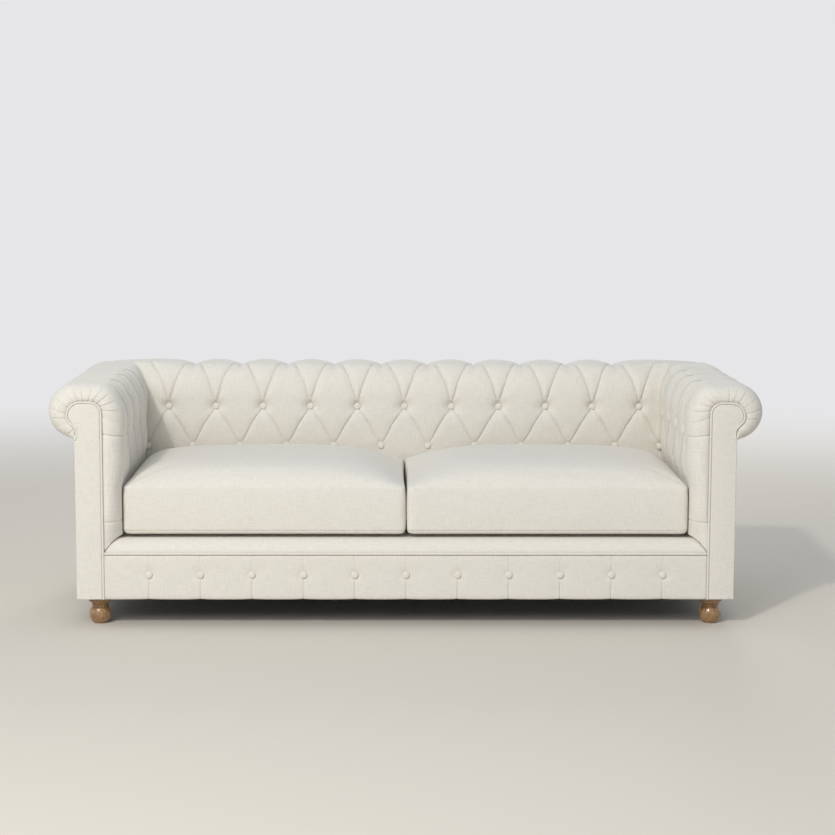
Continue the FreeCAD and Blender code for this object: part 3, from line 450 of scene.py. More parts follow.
@dataclass(frozen=True)
class Woven:
    """Coarse cloth or strap seen only from below or inside: ribbed, one colour with flecks."""

    name: str
    light: str
    dark: str
    rib_mm: float

    def build(self) -> bpy.types.Material:
        """Make the material.

        Returns:
            The cloth.
        """
        material, tree, shader = new_material(self.name)
        place = add_node(tree, "ShaderNodeTexCoord", {}).outputs["Object"]
        feeds = {0: place, "Scale": WAVE / (self.rib_mm * MM), "Distortion": 0.6}
        ribs = add_node(tree, "ShaderNodeTexWave", feeds, bands_direction="DIAGONAL")
        feeds = {0: place, "Scale": 0.5 / (self.rib_mm * MM), "Detail": 2.0}
        fleck = add_node(tree, "ShaderNodeTexNoise", feeds)
        stops = ((0.3, self.dark), (0.7, self.light))
        colour = add_node(tree, "ShaderNodeValToRGB", {0: fleck.outputs[0]}, stops=stops)
        feeds = {"Height": ribs.outputs[1], "Strength": 0.4, "Distance": 0.0008}
        bump = add_node(tree, "ShaderNodeBump", feeds)
        feed(shader, {"Base Color": colour.outputs[0], "Normal": bump.outputs[0], "Roughness": 0.9})
        return material


@dataclass(frozen=True)
class ZincSteel:
    """Zinc-plated steel of bolts and inserts: grey, slightly mottled metal."""

    name: str = "zinc_plated_steel"
    light: str = "#C9CBCC"
    dark: str = "#9FA3A6"
    spangle_mm: float = 2.5

    def build(self) -> bpy.types.Material:
        """Make the material.

        Returns:
            The plated steel.
        """
        material, tree, shader = new_material(self.name)
        place = add_node(tree, "ShaderNodeTexCoord", {}).outputs["Object"]
        feeds = {0: place, "Scale": 1 / (self.spangle_mm * MM), "Detail": 2.0}
        spots = add_node(tree, "ShaderNodeTexNoise", feeds)
        stops = ((0.35, self.dark), (0.65, self.light))
        colour = add_node(tree, "ShaderNodeValToRGB", {0: spots.outputs[0]}, stops=stops)
        feed(shader, {"Base Color": colour.outputs[0], "Metallic": 1.0, "Roughness": 0.38})
        return material


# Section of arms and back


@dataclass(frozen=True)
class Sizes:
    """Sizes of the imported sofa, in millimetres."""

    width: float = 2210.0
    depth: float = 930.0
    height: float = 755.0
    seat: float = 220.0
    crest: float = 243.0
    roll: float = 86.0
    core_in: float = 167.0
    core_out: float = 90.0
    cover: float = 85.0
    core_top: float = 700.0
    deck: float = 279.0
    lip_bottom: float = 229.5
    strip_seam: float = 327.0
    upper_row: float = 607.0
    lower_row: float = 471.0
    swell_low: float = 430.0
    swell_high: float = 640.0
    pillows: int = 11
    arm_first: float = 152.0
    arm_columns: int = 4
    button: float = 11.0
    button_height: float = 7.0
    bottom: float = 85.0
    facing_back: float = 15.0
    piping: float = 3.5
    gap: float = 0.5

    @property
    def half_width(self) -> float:
        """Half of the width."""
        return self.width / 2

    @property
    def half_depth(self) -> float:
        """Half of the depth."""
        return self.depth / 2

    @property
    def corner(self) -> float:
        """X of the corner between arm and back, at the buttons' seat."""
        return self.half_width - self.seat

    @property
    def half_pitch(self) -> float:
        """Half the spacing of the back's buttons."""
        return self.corner / self.pillows

    @property
    def arm_half_pitch(self) -> float:
        """Half the spacing of an arm's buttons."""
        return (self.depth - self.seat - self.arm_first) / (2 * self.arm_columns - 1)


SIZES = Sizes()
INNER_ROUND = ((133.0, 666.0), 34.0)
OUTER_ROUND = ((104.0, 659.0), 41.0)
UNDER_ROUND = ((93.0, 659.0), 30.0)


def mitre(share: Any) -> Any:
    """Share of its level run that the sewn mitre of arm and lip has made at a share of its rise."""
    return 0.6 * share + 0.4 * (1 - np.sqrt(np.maximum(1 - np.square(share), 0)))


@dataclass
class Section:
    """Cross-section of the padding: its fullest outer line, and the frame head inside it."""

    spacing: float = 4.2
    # points of the seat side, of the arc over it and of the roll, before they are spaced evenly
    climb_points: int = 160
    over_points: int = 60
    roll_points: int = 100
    # point of the arc over the seat side that counts as the crest
    crest_point: int = 55
    # gathers round an arm's scroll
    pleat_seed: int = 5
    pleat_pitch: float = 38.0
    pleat_start: float = 16.0
    pleat_end: float = 60.0
    # close points keep a gather or a seam sharp, and no other point comes nearer than clear
    close: float = 1.3
    clear: float = 2.8
    # heights on the frame's outside under the roll, and down its seat side
    outside_levels: tuple[float, ...] = (600.0, 619.0)
    inside_levels: tuple[float, ...] = (540.0, 400.0, 300.0)
    # up to this height the arm's front is drawn straight in
    straight_top: float = 560.0
    # past this turn of the roll its front is drawn in to a hook: share of the rest, inset, height
    hook_turn: float = 225.0
    hook: tuple[tuple[float, float, float], ...] = (
        (0.0, 71.4, 637.4),
        (0.4, 85.5, 623.0),
        (0.6, 88.5, 613.0),
        (1.0, 88.8, 585.5),
    )

    def __post_init__(self) -> None:
        """Lay out the lines."""
        s = SIZES
        climb = np.linspace(s.deck, s.swell_high, self.climb_points)
        share = np.clip((climb - s.swell_low) / (s.swell_high - s.swell_low), 0, 1)
        line = list(zip(s.seat + (s.crest - s.seat) * np.sin(share * math.pi / 2), climb))
        over = (s.roll, s.height - s.swell_high)
        line += arc((s.crest - s.roll, s.swell_high), over, 1, 90, self.over_points)
        line += arc((s.roll, s.height - s.roll), (s.roll, s.roll), 90, 270, self.roll_points)
        points = np.array(line)
        lengths = arc_lengths(points)
        climbed = points[:self.climb_points, 1]
        levels = (s.strip_seam, s.lower_row, s.upper_row)
        rows = [float(np.interp(level, climbed, lengths[:self.climb_points])) for level in levels]
        stops = [0.0, *rows, float(lengths[-1])]
        runs = [np.linspace(a, b, int((b - a) / self.spacing) + 1)[:-1] for a, b in zip(stops, stops[1:])]
        self.seam, self.low, self.high = rows
        self.crest = float(lengths[self.climb_points + self.crest_point])
        self.pleats = self.pleat_places(stops[-1])
        self.along = self.refined(np.concatenate(runs + [[stops[-1]]]))
        columns = [np.interp(self.along, lengths, points[:, axis]) for axis in (0, 1)]
        self.outer = np.stack(columns, axis=1)
        ahead = np.gradient(self.outer, self.along, axis=0)
        ahead /= np.linalg.norm(ahead, axis=1)[:, None]
        self.normal = np.stack([ahead[:, 1], -ahead[:, 0]], axis=1)
        self.inner = np.array(self.core())
        self.head = np.array([self.head_point(inset, height) for inset, height in self.outer])

    def pleat_places(self, end: float) -> np.ndarray:
        """Choose where the gathers round an arm's scroll lie.

        Args:
            end: Length of the outer line.

        Returns:
            Places along the outer line.
        """
        chance = np.random.default_rng(self.pleat_seed)
        spots = [self.high - self.pleat_start]
        while spots[-1] < end - self.pleat_end:
            spots.append(spots[-1] + self.pleat_pitch * chance.uniform(0.8, 1.15))
        return np.array(spots)

    def refined(self, even: np.ndarray) -> np.ndarray:
        """Put three close points at each gather and at the low seam, so that they stay sharp.

        Args:
            even: Places along the outer line.

        Returns:
            The places with the close ones among them.
        """
        sharp = np.concatenate([[self.seam], self.pleats])
        free = np.abs(even[:, None] - sharp[None, :]).min(axis=1) > self.clear
        near = sharp[:, None] + np.array((-self.close, 0.0, self.close))[None, :]
        return np.sort(np.concatenate([even[free], near.ravel()]))

    def core(self) -> list[Point]:
        """Lay out the padding's inside, from under the roll over the head to the seat side.

        Returns:
            Points a hair off the frame.
        """
        s = SIZES
        line = [(s.core_out - s.gap, height) for height in self.outside_levels]
        for (centre, radius), start, end, count in (
            (UNDER_ROUND, self.hook_turn, 180, 5),
            (OUTER_ROUND, 170, 90, 9),
            (INNER_ROUND, 90, 0, 9),
        ):
            line += arc(centre, (radius + s.gap, radius + s.gap), start, end, count)
        return line + [(s.core_in + s.gap, height) for height in self.inside_levels]

    def head_point(self, inset: float, height: float) -> Point:
        """Find where the arm's front draws a point of the outer line in to.

        Args:
            inset: The point's inset.
            height: The point's height.

        Returns:
            Inset and height on the frame's head.
        """
        s = SIZES
        if height <= s.swell_high and inset > s.seat - 1:
            levels = (s.deck, s.strip_seam, self.straight_top, s.swell_high)
            drawn = (s.lip_bottom, s.strip_seam, self.straight_top, INNER_ROUND[0][1])
            return (s.core_in + s.gap, float(np.interp(height, levels, drawn)))
        if inset > s.crest - s.roll:
            rise = (height - s.swell_high) / (s.height - s.swell_high)
            turn = math.degrees(math.atan2(rise, (inset - s.crest + s.roll) / s.roll))
            return self.on_round(INNER_ROUND, turn)
        if inset >= s.roll and height > s.height - s.roll:
            share = (inset - s.roll) / (s.crest - 2 * s.roll)
            first = OUTER_ROUND[0][0]
            return (first + (INNER_ROUND[0][0] - first) * share, s.core_top + s.gap)
        turn = math.degrees(math.atan2(height - s.height + s.roll, inset - s.roll)) % 360
        if turn <= self.hook_turn:
            return self.on_round(OUTER_ROUND if turn <= 180 else UNDER_ROUND, turn)
        share = (turn - self.hook_turn) / (270 - self.hook_turn)
        shares, insets, heights = np.array(self.hook).T
        return (float(np.interp(share, shares, insets)), float(np.interp(share, shares, heights)))

    def on_round(self, circle: tuple[Point, float], turn: float) -> Point:
        """Point a hair outside a round of the frame's head, at an angle in degrees."""
        radius = circle[1] + SIZES.gap
        return arc(circle[0], (radius, radius), turn, turn, 1)[0]


SECTION = Section()


@dataclass
class Tufting:
    """Deep buttoning: folds from button to button, and the pillows that swell between them.

    It is laid out on half of one pillow. Across runs from a lower button's column (0) to an upper
    button's column (half the buttons' spacing), along runs up the section's outer line.
    """

    half: float
    cells: int = 22
    # folds: reach of their slopes, their sharp bottom, the edge tucked under, how far they stray
    reach: float = 34.0
    bolder: float = 1.0
    crease: float = 4.6
    crease_width: float = 1.0
    tuck: float = 0.6
    tuck_width: float = 7.0
    wander: float = 2.4
    wander_size: float = 48.0
    wander_ease: float = 45.0
    ease: float = 26.0
    fine: float = 1.4
    no_fold: float = 999.0
    # valleys between two pillows of the roll, with a narrow notch along the bottom
    merge_rise: float = 1.45
    valley_reach: float = 80.0
    notch: float = 0.25
    notch_width: float = 2.5
    # hollows round the buttons, and the pull below the lower ones
    dimple: float = 15.0
    pull: float = 5.0
    pull_below: float = 75.0
    pull_reach: float = 34.0
    # extra swell of the pillows between the rows
    swell: float = 0.0
    swell_below: float = 35.0
    swell_above: float = 20.0
    # power in which folds, valleys and hollows are added, so that the deepest one counts most
    blend: int = 4

    def __post_init__(self) -> None:
        """Lay out the folds."""
        s = SIZES
        height = SECTION.outer[:, 1]
        rising = smooth_step(s.lower_row - self.swell_below, s.lower_row, height)
        rising = rising * (1 - smooth_step(s.lower_row + self.swell_above, s.upper_row, height))
        self.puff = self.swell * rising * (SECTION.along < SECTION.crest)
        low = SECTION.low
        high = SECTION.high
        crest = SECTION.crest
        rise = crest - high
        climb = high - low
        end = float(SECTION.along[-1])
        self.merge = high + self.merge_rise * rise
        # each row: place along, share of the way from a lower to an upper column, depth
        self.fold = np.array([
            (low, 0.0, 3.0),
            (low + 0.25 * climb, 0.25, 3.5),
            (low + 0.5 * climb, 0.46, 4.0),
            (low + 0.75 * climb, 0.73, 5.0),
            (low + 0.92 * climb, 0.94, 8.0),
            (high, 1.0, 11.0),
            (high + 0.16 * rise, 0.92, 9.0),
            (high + 0.39 * rise, 0.78, 6.0),
            (high + 0.52 * rise, 0.68, 5.0),
            (high + 0.69 * rise, 0.55, 5.0),
            (high + 0.85 * rise, 0.41, 5.5),
            (high + 1.03 * rise, 0.26, 6.0),
            (high + 1.25 * rise, 0.11, 6.0),
            (self.merge, 0.0, 6.0),
        ])
        # each row: place along, depth of the valley between two pillows
        self.valley = np.array([
            (crest - 75, 0.0),
            (crest - 30, 7.0),
            (crest + 10, 14.0),
            (self.merge, 17.0),
            (end - 190, 15.0),
            (end - 110, 9.0),
            (end - 40, 3.0),
            (end, 0.0),
        ])
        # each row: share of the way to an upper column, place along, depth of the seat
        self.buttons = ((0.0, low, 7.0), (1.0, high, 22.6))

    def half_pillow(self, seed: float, number: int) -> tuple[np.ndarray, np.ndarray, np.ndarray]:
        """Lay one of a row of half pillows, of which every second one is mirrored.

        Args:
            seed: Tells its unevenness from the others'.
            number: Its number in the row; all but the first leave out the column shared with the last.

        Returns:
            Distance from the row's start, depth below the fullest line and distance past the fold, for
            each column and each point of the outer line.
        """
        along = SECTION.along
        inside = (along > SECTION.low + 1) & (along < self.merge - 1)
        knots = np.array((SECTION.low, SECTION.high, self.merge))
        ends = np.abs(along[:, None] - knots[None, :]).min(axis=1)
        places = np.stack([along, 0 * along, 0 * along], axis=1)
        stray = self.wander * ripple(places, self.wander_size, seed)
        fold = self.half * np.interp(along, self.fold[:, 0], self.fold[:, 1])
        fold = np.clip(fold + stray * smooth_step(0, self.wander_ease, ends), 0, self.half)
        across = np.stack([self.columns(spot if bent else 0.0) for spot, bent in zip(fold, inside)], axis=1)
        apart = np.where(inside[None, :], across - fold[None, :], self.no_fold)
        depth = self.depth(across, fold, inside)
        if number % 2:
            across = self.half - across[::-1]
            depth = depth[::-1]
            apart = -apart[::-1]
        first = min(number, 1)
        return (across + number * self.half)[first:], depth[first:], apart[first:]

    def columns(self, fold: float) -> np.ndarray:
        """Space one row's columns, three of them close together at the fold so that it stays sharp.

        Args:
            fold: Place of the fold, or 0 where there is none.

        Returns:
            Place of each column.
        """
        cell = self.half / self.cells
        steps = np.arange(self.cells + 1)
        even = steps * cell
        weight = float(smooth_step(0.7 * cell, 2 * cell, min(fold, self.half - fold)))
        middle = int(np.clip(round(fold / cell), 1, self.cells - 1))
        known = {0: 0.0, self.cells: self.half}
        for step in (middle - 4, middle + 4):
            if 0 < step < self.cells:
                known[step] = step * cell
        for step in (middle - 1, middle, middle + 1):
            if 0 < step < self.cells:
                known[step] = fold + (step - middle) * self.fine
        order = sorted(known)
        drawn = np.interp(steps, order, [known[step] for step in order])
        return even + weight * (drawn - even)

    def depth(self, across: np.ndarray, fold: np.ndarray, inside: np.ndarray) -> np.ndarray:
        """Measure how far the cloth lies below the section's fullest line.

        Args:
            across: Place of each column at each point of the outer line.
            fold: Place of the fold at each point of the outer line.
            inside: Whether there is a fold at each point of the outer line.

        Returns:
            Depths in millimetres.
        """
        along = SECTION.along
        low = SECTION.low
        lean = np.sqrt(1 + np.gradient(fold, along) ** 2)
        apart = (across - fold[None, :]) / lean[None, :]
        deep = np.where(inside, np.interp(along, self.fold[:, 0], self.fold[:, 2]), 0)
        deep = (self.bolder * deep + self.puff)[None, :]
        total = (deep * np.clip(1 - np.abs(apart) / self.reach, 0, 1) ** 2) ** self.blend
        dip = np.interp(along, self.valley[:, 0], self.valley[:, 1], left=0)[None, :]
        total += (dip * np.clip(1 - across / self.valley_reach, 0, 1) ** 2) ** self.blend
        pull = (self.pull * smooth_step(low - self.pull_below, low, along) * (along <= low))[None, :]
        total += (pull * np.clip(1 - across / self.pull_reach, 0, 1) ** 2) ** self.blend
        for share, height, seat in self.buttons:
            away = np.hypot(across - share * self.half, along[None, :] - height)
            sunk = seat + float(np.interp(height, along, self.puff))
            hollow = np.exp(-np.maximum(away - SIZES.button + 1, 0) / self.dimple)
            total += (sunk * hollow) ** self.blend
        fresh = np.where(inside, self.fresh(), 0)[None, :]
        sharp = self.crease * fresh * np.exp(-np.abs(apart) / self.crease_width)
        under = np.where(along < SECTION.high, 1, -1)[None, :] * apart
        tucked = np.where(np.abs(under) < 0.3, 0.5, under > 0) * np.exp(-np.abs(under) / self.tuck_width)
        notch = self.notch * dip * np.exp(-across / self.notch_width)
        smooth = total ** (1 / self.blend)
        return smooth + sharp + self.tuck * fresh * tucked + notch - self.puff[None, :]

    def fresh(self) -> np.ndarray:
        """Share of a fold's full sharpness along the outer line, none at the fold's two ends."""
        ends = np.minimum(np.abs(SECTION.along - SECTION.low), np.abs(SECTION.along - self.merge))
        return smooth_step(0, self.ease, ends)


@dataclass
class ArmTufting(Tufting):
    """Buttoning of an arm: wider, shallower folds, some of them lapped with the edge to the front."""

    reach: float = 50.0
    dimple: float = 10.0
    bolder: float = 0.75
    swell: float = 3.5
    # lapped folds: height of the lap, its reach in front, the slot under its edge and the shade in it
    lap: float = 3.2
    lap_reach: float = 26.0
    slot: float = 3.0
    slot_width: float = 0.8
    shade_width: float = 1.1
    # distance from the upper button over which they begin, and past the crest over which they end
    begin: Point = (12.0, 40.0)
    finish: Point = (10.0, 50.0)

    def lapped(self, apart: np.ndarray, upper: bool) -> tuple[np.ndarray, np.ndarray]:
        """Lay the cloth in front of a fold under the cloth behind it.

        Args:
            apart: Distance behind the fold, for each column and each point of the outer line.
            upper: Whether the fold is lapped above its upper button, or else below it.

        Returns:
            Added depth, and the share of painted shade deep in the fold, from 0 to 1.
        """
        along = SECTION.along
        last = [SECTION.crest + beyond for beyond in self.finish]
        past = along - SECTION.high if upper else SECTION.high - along
        strong = (self.fresh() * smooth_step(*self.begin, past))[None, :]
        strong = strong * (1 - smooth_step(*last, along))[None, :]
        ahead = np.where(apart < 0.3, np.exp(np.minimum(apart, 0) / self.lap_reach), 0)
        deep = np.exp(-np.square(apart / self.slot_width))
        # painted shade along the bottom of the fold, where the cloth's colour is darkened
        shade = np.exp(-np.square(apart / self.shade_width))
        return strong * (self.lap * ahead + self.slot * deep), strong * shade


@dataclass
class Padding:
    """Buttoned padding of the back or of one arm."""

    name: str
    node: str
    seed: float
    fill: float = 0.85
    # swells of the stuffing: their height, sizes and shares, where they begin below and above the lower
    # buttons, and the depths of buttoning over which they end
    lumps: float = 1.6
    lump_size: float = 80.0
    lump_share: float = 0.75
    small_lump_size: float = 30.0
    small_lump_share: float = 0.25
    lump_levels: Point = (-40.0, 60.0)
    lump_depths: Point = (6.0, 16.0)
    # spacing on the cloth's map of the points hidden inside
    hidden_spacing: float = 20.0
    corner_dip: float = 13.0
    corner_hump: float = 11.0
    corner_reach: float = 45.0
    slack: float = 0.0
    # the corner's dip: heights where it begins, and where it ends before the crest
    dip_levels: Point = (480.0, 570.0)
    dip_end: Point = (90.0, 10.0)
    # the corner's hump: where it begins before the crest, and where it ends before the roll does
    hump_start: float = 50.0
    hump_end: Point = (190.0, 60.0)
    # above this height over the upper buttons the cloth may be drawn in past the buttons' seat
    free_above: float = 25.0

    def drawn_in(self, depth: np.ndarray) -> np.ndarray:
        """Draw section points in from the fullest line, but no deeper than the buttons' seat.

        Args:
            depth: Depth for each station and each point of the outer line.

        Returns:
            Inset and height, for each station and each point of the outer line.
        """
        inset, height = SECTION.outer.T
        seat_side = (height < SIZES.upper_row + self.free_above) & (inset > SIZES.seat - 1)
        room = (inset - SIZES.seat) / np.maximum(SECTION.normal[:, 0], 0.3) + 0.3
        limit = np.where(seat_side, np.maximum(room, 0), np.inf)
        depth = np.minimum(depth, limit[None, :])
        return SECTION.outer[None, :, :] - SECTION.normal[None, :, :] * depth[:, :, None]

    def fall_away(self, away: np.ndarray) -> np.ndarray:
        """Let the pillows fall away into the corner of arm and back, with a round hump on top of it.

        Args:
            away: Distance from the mitre, for each station and each point of the outer line.

        Returns:
            Depth to add.
        """
        along = SECTION.along
        crest = SECTION.crest
        end = along[-1]
        dip_stops = [crest - before for before in self.dip_end]
        hump_stops = [end - before for before in self.hump_end]
        seat_side = smooth_step(*self.dip_levels, SECTION.outer[:, 1])
        seat_side = seat_side * (1 - smooth_step(*dip_stops, along))
        top = smooth_step(crest - self.hump_start, crest, along) * (1 - smooth_step(*hump_stops, along))
        near = np.exp(-np.square(away / self.corner_reach))
        dip = self.corner_dip * near + self.slack * (1 - near)
        return seat_side[None, :] * dip - self.corner_hump * top[None, :] * near

    def stretched(self, beyond: np.ndarray, spare: np.ndarray, half: float) -> np.ndarray:
        """Stretch the last half pillow to the mitre, most of all at its end.

        Args:
            beyond: Share of the half pillow, 1 at the mitre.
            spare: Distance from the half pillow's plain end to the mitre.
            half: Half the buttons' spacing.

        Returns:
            Distance past the last button's column.
        """
        share = np.clip(beyond, 0, 1)
        return half * beyond + spare * np.where(spare > 0, share ** 5, share ** 2)

    def whole_ring(self, spot: np.ndarray, line: np.ndarray) -> tuple[np.ndarray, np.ndarray]:
        """Close one section: its outer line, the frame inside it, the mitre under the seat side.

        Args:
            spot: Place along the padding of each point of the outer line.
            line: Inset and height of each point of the outer line.

        Returns:
            Place along the padding, and inset and height, of the whole ring.
        """
        foot_inset = SECTION.inner[-1, 0]
        foot_height = SIZES.lip_bottom + 1.0
        share = np.array((0.0, 0.25, 0.5, 0.75))
        inset = foot_inset + mitre(share) * (line[0, 0] - foot_inset)
        height = foot_height + share * (line[0, 1] - foot_height)
        ring = np.vstack([line, SECTION.inner, np.stack([inset, height], axis=1)])
        return np.concatenate([spot, np.full(len(ring) - len(line), spot.mean())]), ring

    def stuff(self, rings: np.ndarray, depth: np.ndarray, edge: np.ndarray, inwards: Point) -> None:
        """Make swells and hollows of the stuffing, none at the buttons or beside the cushions.

        Args:
            rings: Points in space for each station and ring point; the outer ones are moved.
            depth: Depth of the buttoning, for each station and each point of the outer line.
            edge: Share of the unevenness there, 0 at the padding's ends.
            inwards: X and y of the direction that the padding's seat side faces.
        """
        outer = rings[:, :len(SECTION.along)]
        level, up = SECTION.normal.T
        calm = smooth_step(*self.lump_levels, SECTION.outer[:, 1] - SIZES.lower_row)[None, :]
        proud = 1 - smooth_step(*self.lump_depths, depth)
        swell = ripple(outer, self.lump_size, self.seed) * self.lump_share
        swell = swell + ripple(outer, self.small_lump_size, self.seed + 9) * self.small_lump_share
        push = self.lumps * calm * proud * swell * edge
        out = np.stack([inwards[0] * level, inwards[1] * level, up], axis=1)
        outer += push[:, :, None] * out[None, :, :]

    def finish(
        self, rings: np.ndarray, stretch: np.ndarray, fold: np.ndarray, cloth: bpy.types.Material
    ) -> None:
        """Close the rings into a piece, dress it and fix it to the sofa.

        Args:
            rings: Points in space for each station and ring point.
            stretch: Place of each station and outer point along the cloth.
            fold: Share of painted shade deep in a lapped fold at each of them, from 0 to 1.
            cloth: Its cover.
        """
        stations, around = rings.shape[:2]
        extra = around - len(SECTION.along)
        hidden = SECTION.along[-1] + np.arange(1, extra + 1) * self.hidden_spacing
        turns = np.concatenate([SECTION.along, hidden])
        stretch = np.hstack([stretch, np.repeat(stretch[:, -1:], extra, axis=1)])
        places = np.stack([stretch, np.broadcast_to(turns[None, :], stretch.shape)], axis=-1)
        faces = ring_faces(stations, around)
        piece = make_piece(self.name, rings.reshape(-1, 3), faces, places.reshape(-1, 2))
        inner = np.zeros((stations, extra))
        # painted shade: the fold attribute tells the linen how far to darken the cloth deep in lapped folds
        marks = piece.data.attributes.new("fold", "FLOAT", "POINT")
        marks.data.foreach_set("value", np.hstack([fold, inner]).ravel())
        settle(piece, cloth, self.node)


class BackPadding(Padding):
    """Padding of the back, from mitre to mitre."""

    def build(self, cloth: bpy.types.Material) -> None:
        """Make the back.

        Args:
            cloth: Its cover.
        """
        s = SIZES
        half = s.half_pitch
        last = s.corner - half
        tuft = Tufting(half)
        spans = []
        depths = []
        for number in range(2 * s.pillows):
            across, depth = tuft.half_pillow(self.seed + 3.1 * number, number)[:2]
            spans.append(across - s.corner)
            depths.append(depth)
        place = np.vstack(spans)
        depth = np.vstack(depths) + self.fall_away(s.corner - np.abs(place))
        rows = []
        for spot, line in zip(place, self.drawn_in(depth)):
            level, ring = self.whole_ring(spot, line)
            beyond = (np.abs(level) - last) / half
            reach = last + self.stretched(beyond, s.half_width - ring[:, 0] - s.gap / 2 - s.corner, half)
            x = np.where(beyond > 0, np.sign(level) * reach, level)
            rows.append(np.stack([x, s.half_depth - ring[:, 0], ring[:, 1]], axis=1))
        rings = np.array(rows)
        edge = np.clip((s.corner - np.abs(place)) / half, 0, 1)
        self.stuff(rings, depth, edge, (0, -1))
        self.finish(rings, place, 0 * place, cloth)


@dataclass
class ArmPadding(Padding):
    """Padding of one arm, rounded in front with gathers round the scroll, and mitred behind."""

    side: Side = Side.LEFT
    slack: float = 8.0
    # rounded front: its edge, depth and points, and how far behind it the stuffing's swells begin
    front: float = 3.0
    rounding: float = 59.0
    rounding_points: int = 22
    even_to: float = 70.0
    # rim sunk beside the piping: its depth, shares of the section at its points and where it ends
    sink: float = 6.5
    rim: tuple[float, ...] = (0.0, 0.03, 0.07, 0.12, 0.18)
    bulge: float = 0.25
    # the buttoning begins between these distances before and behind the first half pillow's start
    begin: Point = (-8.0, 48.0)
    # gathers: depth of their sharp and soft part, range of strength and length, length of the lowest
    gather: float = 3.2
    gather_width: float = 0.9
    soft: float = 1.0
    soft_width: float = 6.0
    strengths: Point = (0.15, 1.0)
    lengths: Point = (18.0, 40.0)
    lowest: float = 75.0
    # seam low on the front: depth, and where it fades out
    strip_crease: float = 2.4
    strip_fade: Point = (90.0, 130.0)
    # heights between which the front goes over to the lip's rounding
    lip_levels: Point = (300.0, 360.0)

    def build(self, cloth: bpy.types.Material) -> None:
        """Make the arm.

        Args:
            cloth: Its cover.
        """
        s = SIZES
        way = self.side.value
        half = s.arm_half_pitch
        last = s.depth - s.seat - half
        drawn, rounded, ahead = self.front_profile()
        place, depth, fold = self.stations(drawn, rounded, half)
        depth = depth + self.fall_away(s.depth - s.seat - place)
        more = len(place) - len(drawn)
        drawn = np.concatenate([drawn, np.ones(more)])
        ahead = np.concatenate([ahead, np.zeros(more)])
        crease = self.gathers(place)
        sunk = crease * np.sqrt(1 - ahead ** 2)[:, None]
        lines = self.draw_front(self.drawn_in(depth), drawn)
        lines = lines - SECTION.normal[None, :, :] * sunk[:, :, None]
        rows = []
        for spot, line in zip(place + crease * ahead[:, None], lines):
            level, ring = self.whole_ring(spot, line)
            beyond = (level - last) / half
            reach = last + self.stretched(beyond, s.seat - ring[:, 0] - s.gap / 2, half)
            y = np.where(beyond > 0.001, reach, level) - s.half_depth
            rows.append(np.stack([way * (s.half_width - ring[:, 0]), y, ring[:, 1]], axis=1))
        rings = np.array(rows)
        edge = np.clip((s.depth - s.seat - place) / half, 0, 1)
        edge = edge * smooth_step(self.front, self.even_to, place)
        self.stuff(rings, depth, edge, (-way, 0))
        self.finish(rings, place, fold, cloth)

    def front_profile(self) -> tuple[np.ndarray, np.ndarray, np.ndarray]:
        """Lay out the rounding of the arm's front, from the sunk edge beside the piping outwards.

        Returns:
            Share of the full section, distance behind the front, and how squarely the cloth faces ahead.
        """
        sunk = np.array(self.rim)
        turns = np.radians(np.linspace(90, 0, self.rounding_points))
        drawn = np.concatenate([sunk, self.bulge + (1 - self.bulge) * np.cos(turns)])
        edge = self.front + self.sink * (1 - sunk / self.bulge) ** 2
        rounded = np.concatenate([edge, self.front + self.rounding * (1 - np.sin(turns))])
        return drawn, rounded, np.concatenate([np.ones(len(sunk)), np.sin(turns)])

    def stations(
        self, drawn: np.ndarray, rounded: np.ndarray, half: float
    ) -> tuple[np.ndarray, np.ndarray, np.ndarray]:
        """Lay the arm's stations from its rounded front to its mitre.

        Args:
            drawn: Share of the full section at each station of the rounding.
            rounded: Distance of each behind the front.
            half: Half the buttons' spacing.

        Returns:
            Distance behind the front, depth of the buttoning, and the share of painted shade deep in a
            lapped fold, for each station and outer point.
        """
        s = SIZES
        plain = Tufting(half)
        full = ArmTufting(half)
        first = s.arm_first - half
        # beside the deck's lip the arm has the lip's own rounding, so that they meet in a mitre
        low = 1 - smooth_step(*self.lip_levels, SECTION.outer[:, 1])
        lip = Deck.lip_front + Deck.rounding * (1 - np.sqrt(1 - drawn ** 2))
        between = np.linspace(rounded[-1], first, 4)[1:-1]
        spans = [rounded[:, None] * (1 - low)[None, :] + lip[:, None] * low[None, :]]
        spans.append(np.repeat(between[:, None], len(low), axis=1))
        depths = [np.zeros((len(rounded) + len(between), len(low)))]
        folds = [depths[0]]
        for number in range(2 * s.arm_columns):
            seed = self.seed + 2.3 * number
            across, flat = plain.half_pillow(seed, number)[:2]
            proud, apart = full.half_pillow(seed, number)[1:]
            place = across + first
            # towards the mitre the arm's own buttoning goes over to the back's
            share = smooth_step(0, half, s.depth - s.seat - place)
            # the second result is the share of painted shade deep in the lapped fold
            added, fold = full.lapped(apart, number % 2 == 0)
            spans.append(place)
            depths.append(flat + share * (proud + added - flat))
            folds.append(share * fold)
        place = np.vstack(spans)
        eased = smooth_step(*self.begin, place - first)
        return place, np.vstack(depths) * eased, np.vstack(folds) * eased

    def draw_front(self, lines: np.ndarray, drawn: np.ndarray) -> np.ndarray:
        """Draw the front stations in to the frame's head.

        Args:
            lines: Section points of each station.
            drawn: Share of each station's full section, 0 at the head and 1 behind the rounding.

        Returns:
            The drawn-in section points.
        """
        low = 1 - smooth_step(SIZES.deck, SIZES.strip_seam, SECTION.outer[:, 1])
        low = low * (SECTION.outer[:, 0] > SIZES.seat - 1)
        level = drawn[:, None] * (1 - low)[None, :] + mitre(drawn)[:, None] * low[None, :]
        shares = np.stack([level, np.broadcast_to(drawn[:, None], level.shape)], axis=-1)
        return SECTION.head[None, :, :] + shares * (lines - SECTION.head[None, :, :])

